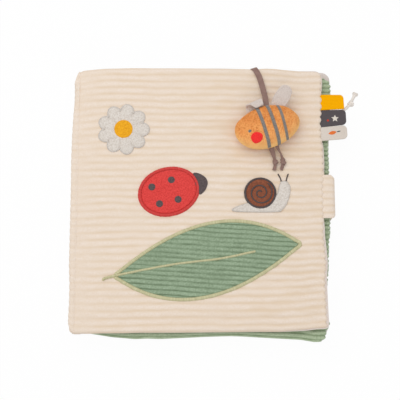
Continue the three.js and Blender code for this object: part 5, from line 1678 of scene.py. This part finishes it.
# Each loop of a knot has its middle, its reach, its height and its slant in degrees
LEGS = {
    "left_leg": {
        "route": [(60.0, 43.4, 37.6), (60.5, 40.4, 35.8), (61.7, 37.0, 34.2), (62.6, 34.2, 33.2),
                  (63.5, 31.0, 32.7), (63.8, 28.6, 32.7), (63.5, 25.5, 32.3), (62.7, 22.7, 31.9)],
        "wide": [2.3, 2.15, 1.75, 1.2, 1.0, 1.35, 1.85],
        "twist": [4, 8, 14, 34, 60, 22, 42],
        "loops": [((63.9, 29.3, 32.8), 1.65, 0.9, 20), ((63.6, 30.2, 32.7), 1.1, 0.75, -35)]},
    "right_leg": {
        "route": [(64.6, 45.0, 37.9), (65.4, 41.6, 36.0), (67.0, 38.8, 34.4), (68.4, 36.2, 33.4),
                  (69.2, 34.0, 32.9), (69.9, 31.0, 32.7), (70.2, 28.4, 32.6), (69.5, 25.5, 32.3),
                  (68.6, 22.8, 31.9)],
        "wide": [2.0, 1.45, 0.75, 0.95, 1.15, 1.3, 1.75],
        "twist": [-10, -24, -62, -50, -60, -20, -44],
        "loops": [((70.3, 29.0, 32.8), 1.7, 0.95, -24), ((69.9, 31.2, 32.7), 1.25, 0.8, 30)]}}


def leg_tape(leg):
    """The tape from the bee to its cut end: its section narrows, thickens, twists and is creased."""
    line = smooth_line(leg["route"], LEG_STEPS)
    walked = arc_length(line)
    share = walked / walked[-1]
    wide, deep = np.interp(share, WIDE_AT, leg["wide"]), np.interp(share, DEEP_AT, DEEP)
    twist = np.radians(np.interp(share, WIDE_AT, leg["twist"]))[:, None]
    ahead = unit(np.gradient(line, axis=0))
    side = unit(np.cross(upwards, ahead))
    side = side * np.cos(twist) + np.cross(ahead, side) * np.sin(twist)
    oval = ring(LEG_SIDES, power=4)
    section = oval[None] * np.stack([wide, deep], -1)[:, None]
    crease = 0.14 * np.cos(oval[None, :, 0] * 5) * (wide / 2.3)[:, None]
    section[..., 1] += crease * np.clip(share * 3, 0, 1)[:, None]
    uv = np.stack(np.broadcast_arrays(walked[:, None], section[..., 0]), -1)
    return sweep(line, side, section), uv


def knot_loop(middle, reach, high, slant):
    """One turn of tape wound round a leg, on a slant given in degrees."""
    turn = np.linspace(0, 2 * np.pi, LOOP_STEPS + 1)[:-1]
    across = reach * np.cos(turn)
    along = across * np.tan(math.radians(slant)) + 0.3 * np.sin(2 * turn)
    loop = np.stack([across, along, high * np.sin(turn)], -1)
    ahead = loop_direction(loop)
    side = unit(np.cross(ahead, loop + [0, 0.001, 0]))
    up = np.cross(side, ahead)
    tape = ring(LOOP_SIDES, LOOP_HALF_WIDTH, LOOP_HALF_THICKNESS, power=4)
    uv = np.stack(np.broadcast_arrays(arc_length(loop)[:, None], tape[None, :, 0]), -1)
    return loop[:, None] + tape[:, :1] * side[:, None] + tape[:, 1:] * up[:, None] + middle, uv


for node, leg in LEGS.items():
    points, uv = leg_tape(leg)
    add_piece(f"bee_{node}_tape", points, swept_faces(LEG_STEPS, LEG_SIDES), taupe_tape, node,
              nodes=(f"bee_{node}",), uv=uv, sharp=50)
    # The knot is two turns on opposite slants, one over the other
    for number, loop in enumerate(leg["loops"], 1):
        points, uv = knot_loop(*loop)
        add_piece(f"bee_{node}_knot_{number}", points, looped_faces(LOOP_STEPS, LOOP_SIDES), taupe_tape, node,
                  uv=uv)
print("bee made")

# %% [markdown]
# ## Hook-and-loop patches
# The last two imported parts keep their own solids, which are right as they are: two thin pads
# under the strap. They only need a finish: woven nylon with a field of tiny hooks or loops.

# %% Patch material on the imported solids
hook_loop, tree, shader = start_material("nylon_hook_and_loop", "#e4ddd4", roughness=0.6, specular=0.4)
grid = add_node(tree, "ShaderNodeTexVoronoi", {"Scale": 1 / (0.8 * MM)}, {"Vector": object_place(tree)})
hooks = grid.outputs["Distance"]
finish_shader(tree, shader, blend_colours(tree, hooks, "#f0ebe3", "#cdc4b9"), hooks, 0.8, 0.3)
for node in ("strap_hook_patch", "back_cover_loop_patch"):
    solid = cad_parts[node]
    solid = solid if isinstance(solid, bpy.types.Object) else bpy.data.objects[node]
    for slot in solid.material_slots:
        slot.material = hook_loop
